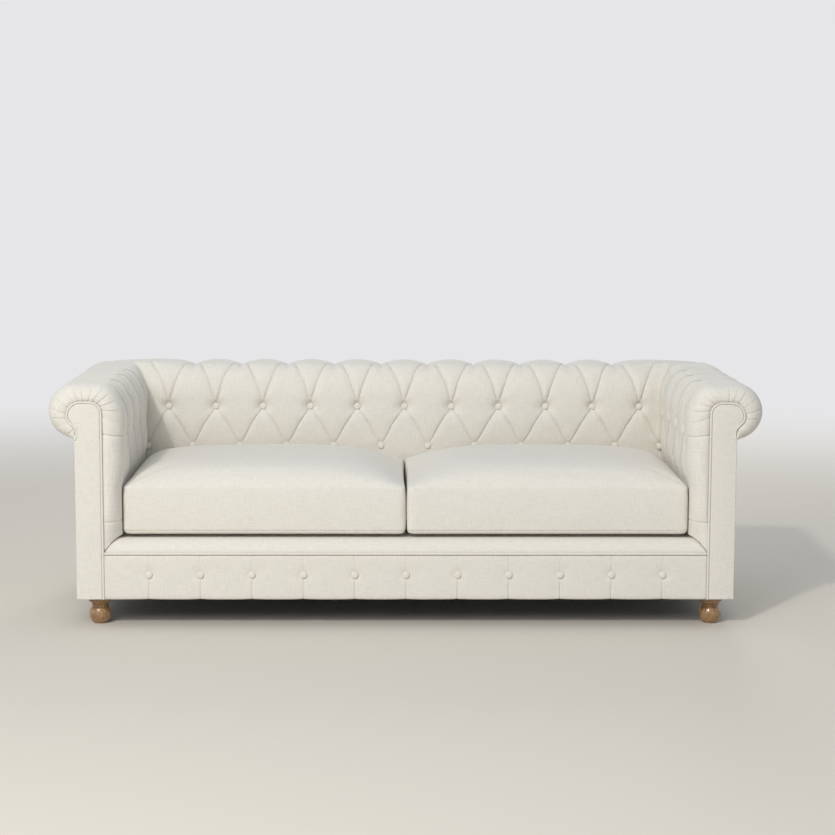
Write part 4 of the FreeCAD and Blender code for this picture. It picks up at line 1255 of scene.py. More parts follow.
    def gathers(self, place: np.ndarray) -> np.ndarray:
        """Sink the short pleats round the scroll and the seam low on the arm's front.

        Args:
            place: Distance behind the front, for each station and each point of the outer line.

        Returns:
            Depth in millimetres, for each station and each point of the outer line.
        """
        along = SECTION.along
        chance = np.random.default_rng(int(self.seed))
        away = np.abs(along - SECTION.seam)
        depth = self.strip_crease * np.exp(-away / self.gather_width)[None, :]
        depth = depth * (1 - smooth_step(*self.strip_fade, place))
        # the lowest pleat runs level from the scroll's seat side and is the longest
        strong = 1.0
        length = self.lowest
        for spot in SECTION.pleats:
            away = np.abs(along - spot)
            shape = self.gather * np.exp(-away / self.gather_width)
            shape = shape + self.soft * np.exp(-away / self.soft_width)
            fade = 1 - smooth_step(self.front + 0.2 * length, self.front + length, place)
            depth = np.maximum(depth, strong * shape[None, :] * fade)
            strong = chance.uniform(*self.strengths)
            length = chance.uniform(*self.lengths)
        return depth


# Buttons


@dataclass(frozen=True)
class Buttons:
    """Covered buttons: a low, flat-topped dome with its cover drawn tight over the rim."""

    around: int = 24
    profile: tuple[Point, ...] = (
        (0.86, 0.0),
        (0.97, 0.14),
        (1.0, 0.34),
        (0.975, 0.56),
        (0.89, 0.76),
        (0.73, 0.9),
        (0.45, 0.975),
    )

    def dome(self, centre: Sequence[float], facing: Sequence[float]) -> tuple[np.ndarray, list[list[int]]]:
        """Shape one button.

        Args:
            centre: Middle of its flat back, in millimetres.
            facing: Direction that it faces.

        Returns:
            Its corners and faces.
        """
        turn = Vector((0, 0, 1)).rotation_difference(Vector(facing))
        corners = []
        for wide, tall in self.profile:
            out = SIZES.button * wide
            for step in range(self.around):
                angle = 2 * math.pi * step / self.around
                place = Vector((out * math.cos(angle), out * math.sin(angle), SIZES.button_height * tall))
                corners.append(turn @ place + Vector(centre))
        corners.append(turn @ Vector((0, 0, SIZES.button_height)) + Vector(centre))
        faces = ring_faces(len(self.profile), self.around, capped=False)
        faces.append(list(range(self.around))[::-1])
        first = (len(self.profile) - 1) * self.around
        top = len(corners) - 1
        faces += [[first + step, first + (step + 1) % self.around, top] for step in range(self.around)]
        return np.array([list(corner) for corner in corners]), faces

    def make(self, name: str, places: Sequence[tuple], node: str, cloth: bpy.types.Material) -> None:
        """Make the buttons of one node.

        Args:
            name: Name of the piece.
            places: Centre and facing of each button.
            node: CAD node that they stand for.
            cloth: Their cover.
        """
        piece = join_pieces(name, [self.dome(centre, facing) for centre, facing in places])
        settle(piece, cloth, node)

    def build(self, cloth: bpy.types.Material) -> None:
        """Make the buttons of back and arms.

        Args:
            cloth: Their cover.
        """
        s = SIZES
        hair = s.gap / 2
        places = []
        for step in range(1, 2 * s.pillows):
            height = s.upper_row if step % 2 else s.lower_row
            centre = (step * s.half_pitch - s.corner, s.half_depth - s.seat - hair, height)
            places.append((centre, (0, -1, 0)))
        out = (s.button + hair) * math.sqrt(0.5)
        for side in Side:
            centre = (side.value * (s.corner - out), s.half_depth - s.seat - out, s.lower_row)
            places.append((centre, (-side.value, -1, 0)))
        self.make("back_covered_buttons", places, "back_buttons", cloth)
        for side in Side:
            places = []
            for step in range(2 * s.arm_columns - 1):
                height = s.lower_row if step % 2 else s.upper_row
                line = s.arm_first + step * s.arm_half_pitch - s.half_depth
                places.append(((side.value * (s.corner - hair), line, height), (-side.value, 0, 0)))
            self.make(f"{side.label}_arm_covered_buttons", places, f"{side.label}_arm_buttons", cloth)


# Front of the base


@dataclass(frozen=True)
class Piping:
    """Cloth-covered cord along a line in one plane, with the plane's normal as square."""

    name: str
    node: str
    square: tuple[float, float, float]
    sides: int = 14
    # share of the radius by which it swells and thins
    uneven: float = 0.05
    swell_size: float = 11.0
    seed: float = 2.0

    def build(self, path: np.ndarray, cloth: bpy.types.Material) -> None:
        """Make the cord.

        Args:
            path: Points of its middle.
            cloth: Its cover.
        """
        radius = SIZES.piping
        ahead = np.gradient(path, axis=0)
        ahead /= np.linalg.norm(ahead, axis=1)[:, None]
        square = np.array(self.square, dtype=float)
        side = np.cross(ahead, square)
        side /= np.linalg.norm(side, axis=1)[:, None]
        turns = np.linspace(0, 2 * math.pi, self.sides + 1)[:-1]
        level = np.cos(turns)[None, :, None] * side[:, None, :]
        around = level + np.sin(turns)[None, :, None] * square[None, None, :]
        swell = radius * (1 + self.uneven * ripple(path, self.swell_size, self.seed))
        rings = path[:, None, :] + swell[:, None, None] * around
        spots = np.broadcast_arrays(arc_lengths(path)[:, None], radius * turns[None, :])
        places = np.stack(spots, axis=-1).reshape(-1, 2)
        piece = make_piece(self.name, rings.reshape(-1, 3), ring_faces(len(path), len(turns)), places)
        settle(piece, cloth, self.node)


@dataclass
class FrontBorder:
    """Padded border under the cushions, drawn in by an upright pleat at each button, with its piping."""

    top: float = 225.0
    end: float = 934.0
    last_button: float = 797.0
    buttons: int = 11
    row: float = 162.0
    # distance of the cloth and of the buttons' seat behind the sofa's foremost plane
    swell: float = 3.2
    seat: float = 8.0
    limits: Point = (0.8, 11.0)
    # mesh: cells between two buttons, columns beyond the last one, rows, close columns at a pleat
    cells: int = 40
    end_columns: int = 34
    levels: int = 36
    close: float = 1.3
    cord_points: int = 300
    # pleats: depth and width of their sharp part, where they end above the buttons, depth of their wide
    # part, lift of the hem
    pleat: float = 3.4
    pleat_width: float = 1.0
    pleat_end: Point = (-4.0, 40.0)
    drawn: float = 2.0
    hem_lift: float = 1.2
    # hollow round a button: where it begins and its reach
    dimple_edge: float = 10.0
    dimple: float = 13.0
    # turned upper and lower edge, swells of the stuffing
    turned: float = 2.8
    lump: float = 0.9
    small_lump: float = 0.3

    def build(self, cloth: bpy.types.Material) -> None:
        """Make border, buttons and piping.

        Args:
            cloth: Their cover.
        """
        s = SIZES
        columns = np.linspace(-self.last_button, self.last_button, self.buttons)
        self.padding(columns, cloth)
        face = self.seat - s.half_depth - s.gap / 2
        spots = [((float(column), face, self.row), (0, -1, 0)) for column in columns]
        Buttons().make("border_covered_buttons", spots, "border_buttons", cloth)
        level = self.top + s.gap + s.piping
        x = np.linspace(-self.end, self.end, self.cord_points)
        path = np.stack(np.broadcast_arrays(x, s.piping - s.half_depth, level), axis=1)
        Piping("border_cord", "border_piping", (0, 0, 1)).build(path, cloth)

    def padding(self, columns: np.ndarray, cloth: bpy.types.Material) -> None:
        """Make the border.

        Args:
            columns: X of the buttons.
            cloth: Its cover.
        """
        s = SIZES
        runs = [np.linspace(a, b, self.cells + 1)[:-1] for a, b in zip(columns, columns[1:])]
        edge = np.linspace(self.last_button, self.end, self.end_columns)
        runs += [-edge[::-1], edge, columns - self.close, columns + self.close]
        x = np.unique(np.round(np.concatenate(runs), 4))
        rows = np.linspace(0, 1, self.levels)
        height = s.bottom + rows * (self.top - s.bottom)
        half = (columns[1] - columns[0]) / 2
        away = np.abs(x[:, None] - columns[None, :]).min(axis=1)
        near = np.clip(1 - away / half, 0, 1)[:, None]
        below = 1 - smooth_step(*self.pleat_end, height - self.row)[None, :]
        wide = near ** 2.6 * (0.35 + 0.65 * below)
        sharp = np.exp(-away / self.pleat_width)[:, None] * (0.3 + 0.7 * below)
        beyond = np.hypot(away[:, None], height[None, :] - self.row) - self.dimple_edge
        dimple = np.exp(-np.maximum(beyond, 0) / self.dimple)
        spots = np.broadcast_arrays(x[:, None], 0 * height[None, :], height[None, :])
        places = np.stack(spots, axis=-1)
        lump = self.lump * ripple(places, 70, 3.0) + self.small_lump * ripple(places, 25, 8.0)
        turned = self.turned * np.abs(2 * rows - 1)[None, :] ** 14
        front = self.swell + np.maximum(self.drawn * wide, (self.seat - self.swell) * dimple)
        front = front + turned + (self.pleat * sharp + lump) * (1 - dimple)
        front = np.clip(front, *self.limits)
        hem = s.bottom + self.hem_lift * near ** 3
        z = hem + rows[None, :] * (self.top - hem)
        outer = np.stack([np.broadcast_to(x[:, None], z.shape), front - s.half_depth, z], axis=-1)
        line = np.full(len(x), s.facing_back - s.half_depth)
        high = np.stack([x, line, np.full(len(x), self.top)], axis=1)
        low = np.stack([x, line, hem[:, 0]], axis=1)
        rings = np.concatenate([outer, np.stack([high, low], axis=1)], axis=1)
        piece = make_piece("padded_front_border", rings.reshape(-1, 3), ring_faces(*rings.shape[:2]))
        settle(piece, cloth, "front_border")


@dataclass(frozen=True)
class Facing:
    """Scroll-shaped panel on the front of an arm, with piping round its seat side and scroll."""

    side: Side
    inset: float = 3.75
    # neck under the scroll: distance past the frame's outside and height
    neck: tuple[Point, ...] = ((-0.8, 618.5), (0.0, 612.0), (0.0, 596.0), (-1.5, 589.0))
    # upper end of the outside edge: distance past the outside cover and height
    shoulder: Point = (3.0, 582.0)
    outside_top: float = 577.0
    # rounded rim: distance drawn in, and distance behind the sofa's foremost plane
    rim: tuple[Point, ...] = ((0.0, 5.2), (0.5, 3.3), (1.6, 2.4), (4.0, 2.0))
    cord_spacing: float = 4.0
    # the cord's end, hooked in under the scroll
    hook: tuple[Point, ...] = (
        (85.5, 624.2),
        (89.6, 618.8),
        (91.5, 612.0),
        (91.8, 602.0),
        (91.2, 594.0),
        (89.0, 588.6),
        (85.8, 585.2),
    )

    def scroll(self, grow: float) -> list[Point]:
        """Lay out seat side and scroll of the frame's head.

        Args:
            grow: Distance outside the head.

        Returns:
            Inset and height of each point.
        """
        rising = np.linspace(SIZES.bottom, INNER_ROUND[0][1], 60)[:-1]
        line = [(SIZES.core_in + grow, float(height)) for height in rising]
        for (centre, radius), start, end, count in (
            (INNER_ROUND, 0, 90, 14),
            (OUTER_ROUND, 90, 180, 16),
            (UNDER_ROUND, 184, 225, 7),
        ):
            line += arc(centre, (radius + grow, radius + grow), start, end, count)
        return line

    def build(self, cloth: bpy.types.Material) -> None:
        """Make panel and piping.

        Args:
            cloth: Their cover.
        """
        s = SIZES
        label = self.side.label
        neck = s.core_out + self.inset
        outline = self.scroll(-self.inset)
        outline += [(neck + past, height) for past, height in self.neck]
        outline += [(s.cover + self.shoulder[0], self.shoulder[1])]
        outline += [(s.cover, float(height)) for height in np.linspace(self.outside_top, s.bottom, 40)]
        edge = ((0.0, s.facing_back), *self.rim)
        rings = []
        for draw, line in edge:
            points = self.shrunk(np.array(outline), draw)
            x = self.side.value * (s.half_width - points[:, 0])
            rings.append(np.stack([x, np.full(len(x), line - s.half_depth), points[:, 1]], axis=1))
        piece = make_piece(f"{label}_scroll_facing", np.vstack(rings), ring_faces(len(edge), len(outline)))
        settle(piece, cloth, f"{label}_facing")
        flat = evenly(np.array(self.scroll(0) + list(self.hook)), self.cord_spacing)
        x = self.side.value * (s.half_width - flat[:, 0])
        path = np.stack([x, np.full(len(x), s.piping - s.half_depth), flat[:, 1]], axis=1)
        Piping(f"{label}_facing_cord", f"{label}_facing_piping", (0, -1, 0)).build(path, cloth)

    def shrunk(self, outline: np.ndarray, draw: float) -> np.ndarray:
        """Draw an outline in.

        Args:
            outline: Its points, seat side first.
            draw: Distance to draw it in.

        Returns:
            The new points.
        """
        ahead = np.roll(outline, -1, axis=0) - np.roll(outline, 1, axis=0)
        ahead /= np.linalg.norm(ahead, axis=1)[:, None]
        return outline + draw * np.stack([-ahead[:, 1], ahead[:, 0]], axis=1)


# Seat


@dataclass(frozen=True)
class Deck:
    """Rounded front lip and the deck pad that the cushions lie on."""

    lip_front: float = 8.5
    lip_depth: float = 150.0
    rounding: float = 54.0
    lip_top: float = 269.5
    # hollow behind the rounding: distance behind the sofa's foremost plane and height
    hollow: tuple[Point, ...] = ((76.0, 268.5), (94.0, 267.5), (114.0, 269.0), (132.0, 274.0))
    bow_points: int = 22
    columns: int = 300
    lump: float = 0.9
    lump_size: float = 90.0
    seed: float = 5.0
    # heights of the pad's upright sides, then drop below its top and draw-in of its rounded rim
    pad_levels: tuple[float, ...] = (233.0, 250.0, 265.0)
    pad_rim: tuple[Point, ...] = ((4.0, 0.0), (1.0, 1.2), (0.0, 5.0))

    def slant(self, height: Any) -> Any:
        """Inset where lip and deck end, under the mitred edge of the padding."""
        rise = SIZES.deck - SIZES.lip_bottom
        share = np.clip((np.asarray(height) - SIZES.lip_bottom) / rise, 0, 1)
        return SIZES.core_in + 2 * SIZES.gap + mitre(share) * (SIZES.seat - SIZES.core_in)

    def build(self, cloth: bpy.types.Material) -> None:
        """Make lip and deck pad.

        Args:
            cloth: Their cover.
        """
        s = SIZES
        middle = (self.lip_front + self.rounding, s.lip_bottom)
        bow = arc(middle, (self.rounding, self.lip_top - s.lip_bottom), 180, 90, self.bow_points)
        back = [(self.lip_depth, s.deck), (self.lip_depth, s.lip_bottom)]
        profile = np.array([*bow, *self.hollow, *back])
        share = np.linspace(-1, 1, self.columns)
        x = share[:, None] * (s.half_width - self.slant(profile[:, 1]))[None, :]
        rings = np.empty((*x.shape, 3))
        rings[:, :, 0] = x
        rings[:, :, 1] = profile[:, 0] - s.half_depth
        rings[:, :, 2] = profile[:, 1]
        front = rings[:, :self.bow_points]
        front[:, :, 1] += self.lump * np.abs(ripple(front, self.lump_size, self.seed))
        piece = make_piece("rolled_front_lip", rings.reshape(-1, 3), ring_faces(*x.shape))
        settle(piece, cloth, "front_lip")
        self.pad(cloth)

    def pad(self, cloth: bpy.types.Material) -> None:
        """Make the deck pad.

        Args:
            cloth: Its cover.
        """
        s = SIZES
        sides = [(height, 0.0) for height in self.pad_levels]
        rim = [(s.deck - drop, draw) for drop, draw in self.pad_rim]
        rings = []
        for height, draw in sides + rim:
            inset = float(self.slant(height)) + draw
            side = s.half_width - inset
            back = s.half_depth - inset
            line = self.lip_depth + s.gap - s.half_depth + draw
            across = np.linspace(-side, side, 60)
            deep = np.linspace(line, back, 24)
            ring = [(x, line, height) for x in across[:-1]]
            ring += [(side, y, height) for y in deep[:-1]]
            ring += [(x, back, height) for x in across[::-1][:-1]]
            ring += [(-side, y, height) for y in deep[::-1][:-1]]
            rings.append(np.array(ring))
        piece = make_piece("deck_padding", np.vstack(rings), ring_faces(len(rings), len(rings[0])))
        settle(piece, cloth, "deck_pad")


@dataclass(frozen=True)
class Cushion:
    """Loose seat cushion: a boxed cover that swells over its filling between two sewn seams."""

    side: Side
    inner_x: float = 2.0
    outer_x: float = 882.0
    front: float = 58.0
    back: float = 226.0
    bottom: float = 279.5
    boxing: float = 149.0
    # crown, and the two powers of its fall to the arm, to the other cushion, and to front and back
    crown: float = 66.0
    arm_fall: Point = (3.0, 0.42)
    middle_fall: Point = (4.2, 0.9)
    deep_fall: Point = (3.4, 0.48)
    corner: float = 16.0
    ear: float = 3.0
    # height of the rounded lower edge, and how far it and the top edge are drawn in
    hem: float = 17.0
    hem_draw: float = 13.0
    top_draw: float = 2.0
    # filling: inner pressure, frames of simulation, furthest that a corner may move, height held below
    pressure: float = 4.0
    frames: int = 20
    cap: float = 5.0
    held_low: float = 6.0
    # unevenness of the cover, and depth of its lower seam
    swell: float = 1.8
    swell_size: float = 170.0
    wrinkle: float = 0.6
    wrinkle_size: float = 50.0
    seam_depth: float = 2.2
    grid: tuple[int, int] = (108, 80)
    # shares of the boxing's height, closer together at the lower seam and the top edge
    levels: tuple[float, ...] = (
        *(0.0, 0.012, 0.03, 0.052, 0.072, 0.08, 0.088, 0.11),
        *(0.16, 0.22, 0.28, 0.34, 0.4, 0.46, 0.52, 0.58, 0.64, 0.7, 0.76, 0.82),
        *(0.88, 0.93, 0.965, 1.0),
    )
    lower_seam: float = 0.08

    @property
    def seed(self) -> float:
        """Number that tells its unevenness from the other cushion's."""
        return 50.0 + 13 * self.side.value

    def plan(self, a: np.ndarray, b: np.ndarray, draw: np.ndarray) -> tuple[np.ndarray, np.ndarray]:
        """Find places on the cushion seen from above: rounded corners, sides drawn in between them.

        Args:
            a: Share across, from -1 at the arm to 1 at the other cushion.
            b: Share from front to back, from -1 to 1.
            draw: Distance to draw in from the fullest outline.

        Returns:
            Distance from the cushion's middle towards the other cushion, and to the back.
        """
        half_x = (self.outer_x - self.inner_x) / 2 - draw
        half_y = (SIZES.depth - self.front - self.back) / 2 - draw
        edge = np.maximum(np.abs(a), np.abs(b))
        x = a * half_x
        y = b * half_y
        corner = self.corner * edge
        over_x = np.abs(x) - half_x * edge + corner
        over_y = np.abs(y) - half_y * edge + corner
        both = (over_x > 0) & (over_y > 0)
        reach = np.maximum(over_x, over_y) / np.maximum(np.hypot(over_x, over_y), 1e-6)
        x = np.where(both, np.sign(x) * (half_x * edge - corner + over_x * reach), x)
        y = np.where(both, np.sign(y) * (half_y * edge - corner + over_y * reach), y)
        x = x - np.sign(a) * self.ear * (1 - b ** 2) * np.abs(a) ** 3
        y = y - np.sign(b) * self.ear * (1 - a ** 4) * np.abs(b) ** 3
        return x, y

    def build(self, cloth: bpy.types.Material) -> None:
        """Make the cushion.

        Args:
            cloth: Its cover.
        """
        label = self.side.label
        points, faces, seam = self.shell()
        piece = make_piece(f"{label}_seat_cushion", points, faces)
        self.inflate(piece, seam)
        self.sew(piece, seam)
        nodes = (f"{label}_cushion_cover", f"{label}_cushion_core")
        settle(piece, cloth, *nodes, body=f"{label}_cushion")

    def shell(self) -> tuple[np.ndarray, list[list[int]], np.ndarray]:
        """Lay out the cover before it is filled.

        Returns:
            Its corners, its faces, and each corner's nearness to a seam.
        """
        across, deep = self.grid
        tall = len(self.levels) - 1
        index: dict[tuple, int] = {}
        rows: list[tuple[float, float, float]] = []

        def spread(step: int, count: int) -> float:
            """Share from -1 to 1 of a grid line, closer together at the edges."""
            even = 2 * step / count - 1
            return 1.25 * even - 0.25 * even ** 3

        def corner(place: tuple[int, int, int]) -> int:
            """Number of a corner of the box's grid, new or known."""
            if place not in index:
                index[place] = len(rows)
                rows.append((spread(place[0], across), spread(place[1], deep), self.levels[place[2]]))
            return index[place]

        faces = []
        for level in (0, tall):
            for i in range(across):
                for j in range(deep):
                    square = [(i, j), (i + 1, j), (i + 1, j + 1), (i, j + 1)]
                    faces.append([corner((x, y, level)) for x, y in square])
        rim = [(i, 0) for i in range(across)] + [(across, j) for j in range(deep)]
        rim += [(across - i, deep) for i in range(across)] + [(0, deep - j) for j in range(deep)]
        for start, end in zip(rim, rim[1:] + rim[:1]):
            for level in range(tall):
                square = [(*start, level), (*end, level), (*end, level + 1), (*start, level + 1)]
                faces.append([corner(place) for place in square])
        share = np.array(rows)
        edge = np.maximum(np.abs(share[:, 0]), np.abs(share[:, 1])) > 0.9999
        sewn = np.where(share[:, 2] == self.lower_seam, 1.0, np.where(share[:, 2] == 1, 0.35, 0.0))
        return self.form(share), faces, sewn * edge

    def form(self, share: np.ndarray) -> np.ndarray:
        """Put the box's grid on the cushion.

        Args:
            share: Three shares of each corner: across and deep from -1 to 1, height from 0 to 1.

        Returns:
            Points in space.
        """
        a, b, h = share.T
        low = np.clip(1 - h * self.boxing / self.hem, 0, 1)
        draw = self.hem_draw * (1 - np.sqrt(1 - low ** 2)) + self.top_draw * smooth_step(0.75, 1.0, h)
        x, y = self.plan(a, b, draw)
        falls = ((a, self.arm_fall), (a, self.middle_fall), (b, self.deep_fall))
        outer, inner, deep = [(1 - np.abs(way) ** flat) ** steep for way, (flat, steep) in falls]
        rise = np.where(a < 0, outer, inner) * deep
        z = self.bottom + h * self.boxing + np.where(h == 1, self.crown * rise, 0)
        middle_x = (self.outer_x + self.inner_x) / 2
        middle_y = (self.front - self.back) / 2
        return np.stack([self.side.value * (middle_x - x), middle_y + y, z], axis=1)

    def inflate(self, piece: bpy.types.Object, seam: np.ndarray) -> None:
        """Fill the cover by cloth simulation, with the seams and the underside held.

        Args:
            piece: The cushion.
            seam: Nearness of each corner to a seam.
        """
        start = read_points(piece.data)
        held = piece.vertex_groups.new(name="held")
        low = start[:, 2] < (self.bottom + self.held_low) * MM
        for number in np.nonzero((seam > 0) | low)[0]:
            held.add([int(number)], 1.0, "REPLACE")
        cloth = piece.modifiers.new("filling", "CLOTH")
        settings = cloth.settings
        settings.quality = 4
        settings.mass = 0.25
        settings.tension_stiffness = 8
        settings.compression_stiffness = 8
        settings.shear_stiffness = 3
        settings.bending_stiffness = 0.4
        settings.use_pressure = True
        settings.uniform_pressure_force = self.pressure
        settings.vertex_group_mass = "held"
        settings.effector_weights.gravity = 0
        cloth.collision_settings.use_collision = False
        scene = bpy.context.scene
        for number in range(1, self.frames + 1):
            scene.frame_set(number)
        shaped = piece.evaluated_get(bpy.context.evaluated_depsgraph_get()).data
        moved = read_points(shaped) - start
        far = np.linalg.norm(moved, axis=1)
        log.info("%s filled, moved %.1f mm at most", piece.name, far.max() / MM)
        moved *= np.minimum(1, self.cap * MM / np.maximum(far, 1e-9))[:, None]
        piece.modifiers.remove(cloth)
        piece.vertex_groups.remove(held)
        piece.data.vertices.foreach_set("co", (start + moved).ravel())
        scene.frame_set(1)
        piece.data.update()

    def sew(self, piece: bpy.types.Object, seam: np.ndarray) -> None:
        """Draw the seams in and make the cover uneven.

        Args:
            piece: The cushion.
            seam: Nearness of each corner to a seam.
        """
        place = read_points(piece.data) / MM
        normals = read_points(piece.data, "normal")
        free = np.clip((place[:, 2] - self.bottom - 4) / 30, 0, 1)
        swells = self.swell * ripple(place, self.swell_size, self.seed)
        wrinkles = self.wrinkle * ripple(place, self.wrinkle_size, self.seed + 4)
        push = (swells + wrinkles) * free - self.seam_depth * seam
        place += normals * push[:, None]
        piece.data.vertices.foreach_set("co", (place * MM).ravel())
        piece.data.update()


# Outside and underside


@dataclass(frozen=True)
class OutsideCovers:
    """Plain covers on the outside of arms and back, and the cloth under the frame."""

    high: float = 582.0
    soft_edge: float = 1.6
    # dust cloth: height of its middle above the frame's underside, sag, thickness and mesh
    lift: float = 0.6
    sag: float = 3.5
    thickness: float = 0.6
    grid: tuple[int, int] = (81, 35)

    def panel(self, name: str, node: str, low: Point, high: Point, cloth: bpy.types.Material) -> None:
        """Make one thin cover with soft edges.

        Args:
            name: Name of the piece.
            node: CAD node that it stands for.
            low: Its least x and y.
            high: Its greatest x and y.
            cloth: Its cover.
        """
        first = (*low, SIZES.bottom)
        size = (high[0] - low[0], high[1] - low[1], self.high - SIZES.bottom)
        builder = bmesh.new()
        bmesh.ops.create_cube(builder, size=1.0)
        for corner in builder.verts:
            corner.co = Vector([first[a] + (corner.co[a] + 0.5) * size[a] for a in range(3)])
        edges = builder.edges[:]
        bmesh.ops.bevel(builder, geom=edges, offset=self.soft_edge, segments=3, affect="EDGES", profile=0.5)
        builder.verts.index_update()
        points = np.array([list(corner.co) for corner in builder.verts])
        faces = [[corner.index for corner in face.verts] for face in builder.faces]
        builder.free()
        piece = make_piece(name, points, faces)
        settle(piece, cloth, node)

    def build(self, cloth: bpy.types.Material, black: bpy.types.Material) -> None:
        """Make covers and dust cloth.

        Args:
            cloth: Cover of the sofa.
            black: Cloth under the frame.
        """
        s = SIZES
        front = s.facing_back - s.half_depth
        back = s.half_depth - s.cover
        reach = s.half_width - s.core_out
        for side in Side:
            edges = sorted(side.value * (s.half_width - inset) for inset in (s.cover, s.core_out))
            name = f"{side.label}_outside_cover"
            self.panel(name, f"{side.label}_outside_arm", (edges[0], front), (edges[1], back), cloth)
        inside = s.half_depth - s.core_out
        self.panel("outside_back_cover", "outside_back", (-reach, inside), (reach, back), cloth)
        self.dust_cloth(reach, front, inside, black)

    def dust_cloth(self, reach: float, front: float, back: float, black: bpy.types.Material) -> None:
        """Make the cloth under the frame, sagging a little between the rails.

        Args:
            reach: Its half width.
            front: Its front edge.
            back: Its rear edge.
            black: The cloth.
        """
        x = np.linspace(-reach, reach, self.grid[0])
        y = np.linspace(front, back, self.grid[1])
        share_x = 1 - np.abs(np.linspace(-1, 1, len(x))) ** 6
        share_y = 1 - np.abs(np.linspace(-1, 1, len(y))) ** 4
        level = SIZES.bottom + self.lift - self.sag * share_x[:, None] * share_y[None, :]
        spots = np.broadcast_arrays(x[:, None], y[None, :], level)
        faces = []
        for i in range(len(x) - 1):
            for j in range(len(y) - 1):
                first = i * len(y) + j
                faces.append([first, first + len(y), first + len(y) + 1, first + 1])
        piece = make_piece("dust_cloth", np.stack(spots, axis=-1).reshape(-1, 3), faces)
        thick = piece.modifiers.new("thickness", "SOLIDIFY")
        thick.thickness = self.thickness * MM
        thick.offset = 0
        settle(piece, black, "dust_cover", slot="dust_cloth")


@dataclass(frozen=True)
class Carcass:
    """CAD nodes that keep their shape: turned feet, timber frame, webbing and bolts."""

    # beech stained mid brown: fine grain under a satin lacquer that gives small soft highlights
    turned: Wood = Wood("stained_beech", "#B08A5E", "#7A5835", 4.0, 0.38, lacquer=0.7)
    # planed beech without finish: pale pinkish brown, matt
    planed: Wood = Wood("planed_beech", "#C9A67C", "#AE8658", 6.0, 0.62, along=0)
    # birch ply: pale, faint grain
    ply: Wood = Wood("birch_ply", "#D6B88F", "#BF9C6E", 9.0, 0.6, along=0)
    # elastic strap: black rubber yarn, ribbed
    strap: Woven = Woven("elastic_webbing", "#2C2A28", "#171615", 2.2)
    steel: ZincSteel = ZincSteel()

    def dress(self, nodes: Sequence[str], material: bpy.types.Material) -> None:
        """Give nodes a finish.

        Args:
            nodes: Their names.
            material: Their finish.
        """
        for name in nodes:
            node = frame["nodes"][name]
            node.data.materials.clear()
            node.data.materials.append(material)

    def build(self) -> None:
        """Dress every node that is left showing."""
        slots: dict[str, list[str]] = {}
        for row in frame["record"]["subparts"]:
            slots.setdefault(row["material_slot"], []).append(row["node"])
        self.dress(slots["turned_wood"], self.turned.build())
        self.dress(slots["frame_wood"], self.planed.build())
        self.dress(slots["plywood"], self.ply.build())
        self.dress(slots["webbing"], self.strap.build())
        self.dress(slots["zinc_steel"], self.steel.build())


# Studio


@dataclass(frozen=True)
class Lamp:
    """Soft square lamp: where it stands, what it aims at (metres), its edge, power and colour."""

    name: str
    place: tuple[float, float, float]
    aim: tuple[float, float, float]
    size: float
    power: float
    colour: str = "#FFFDF8"


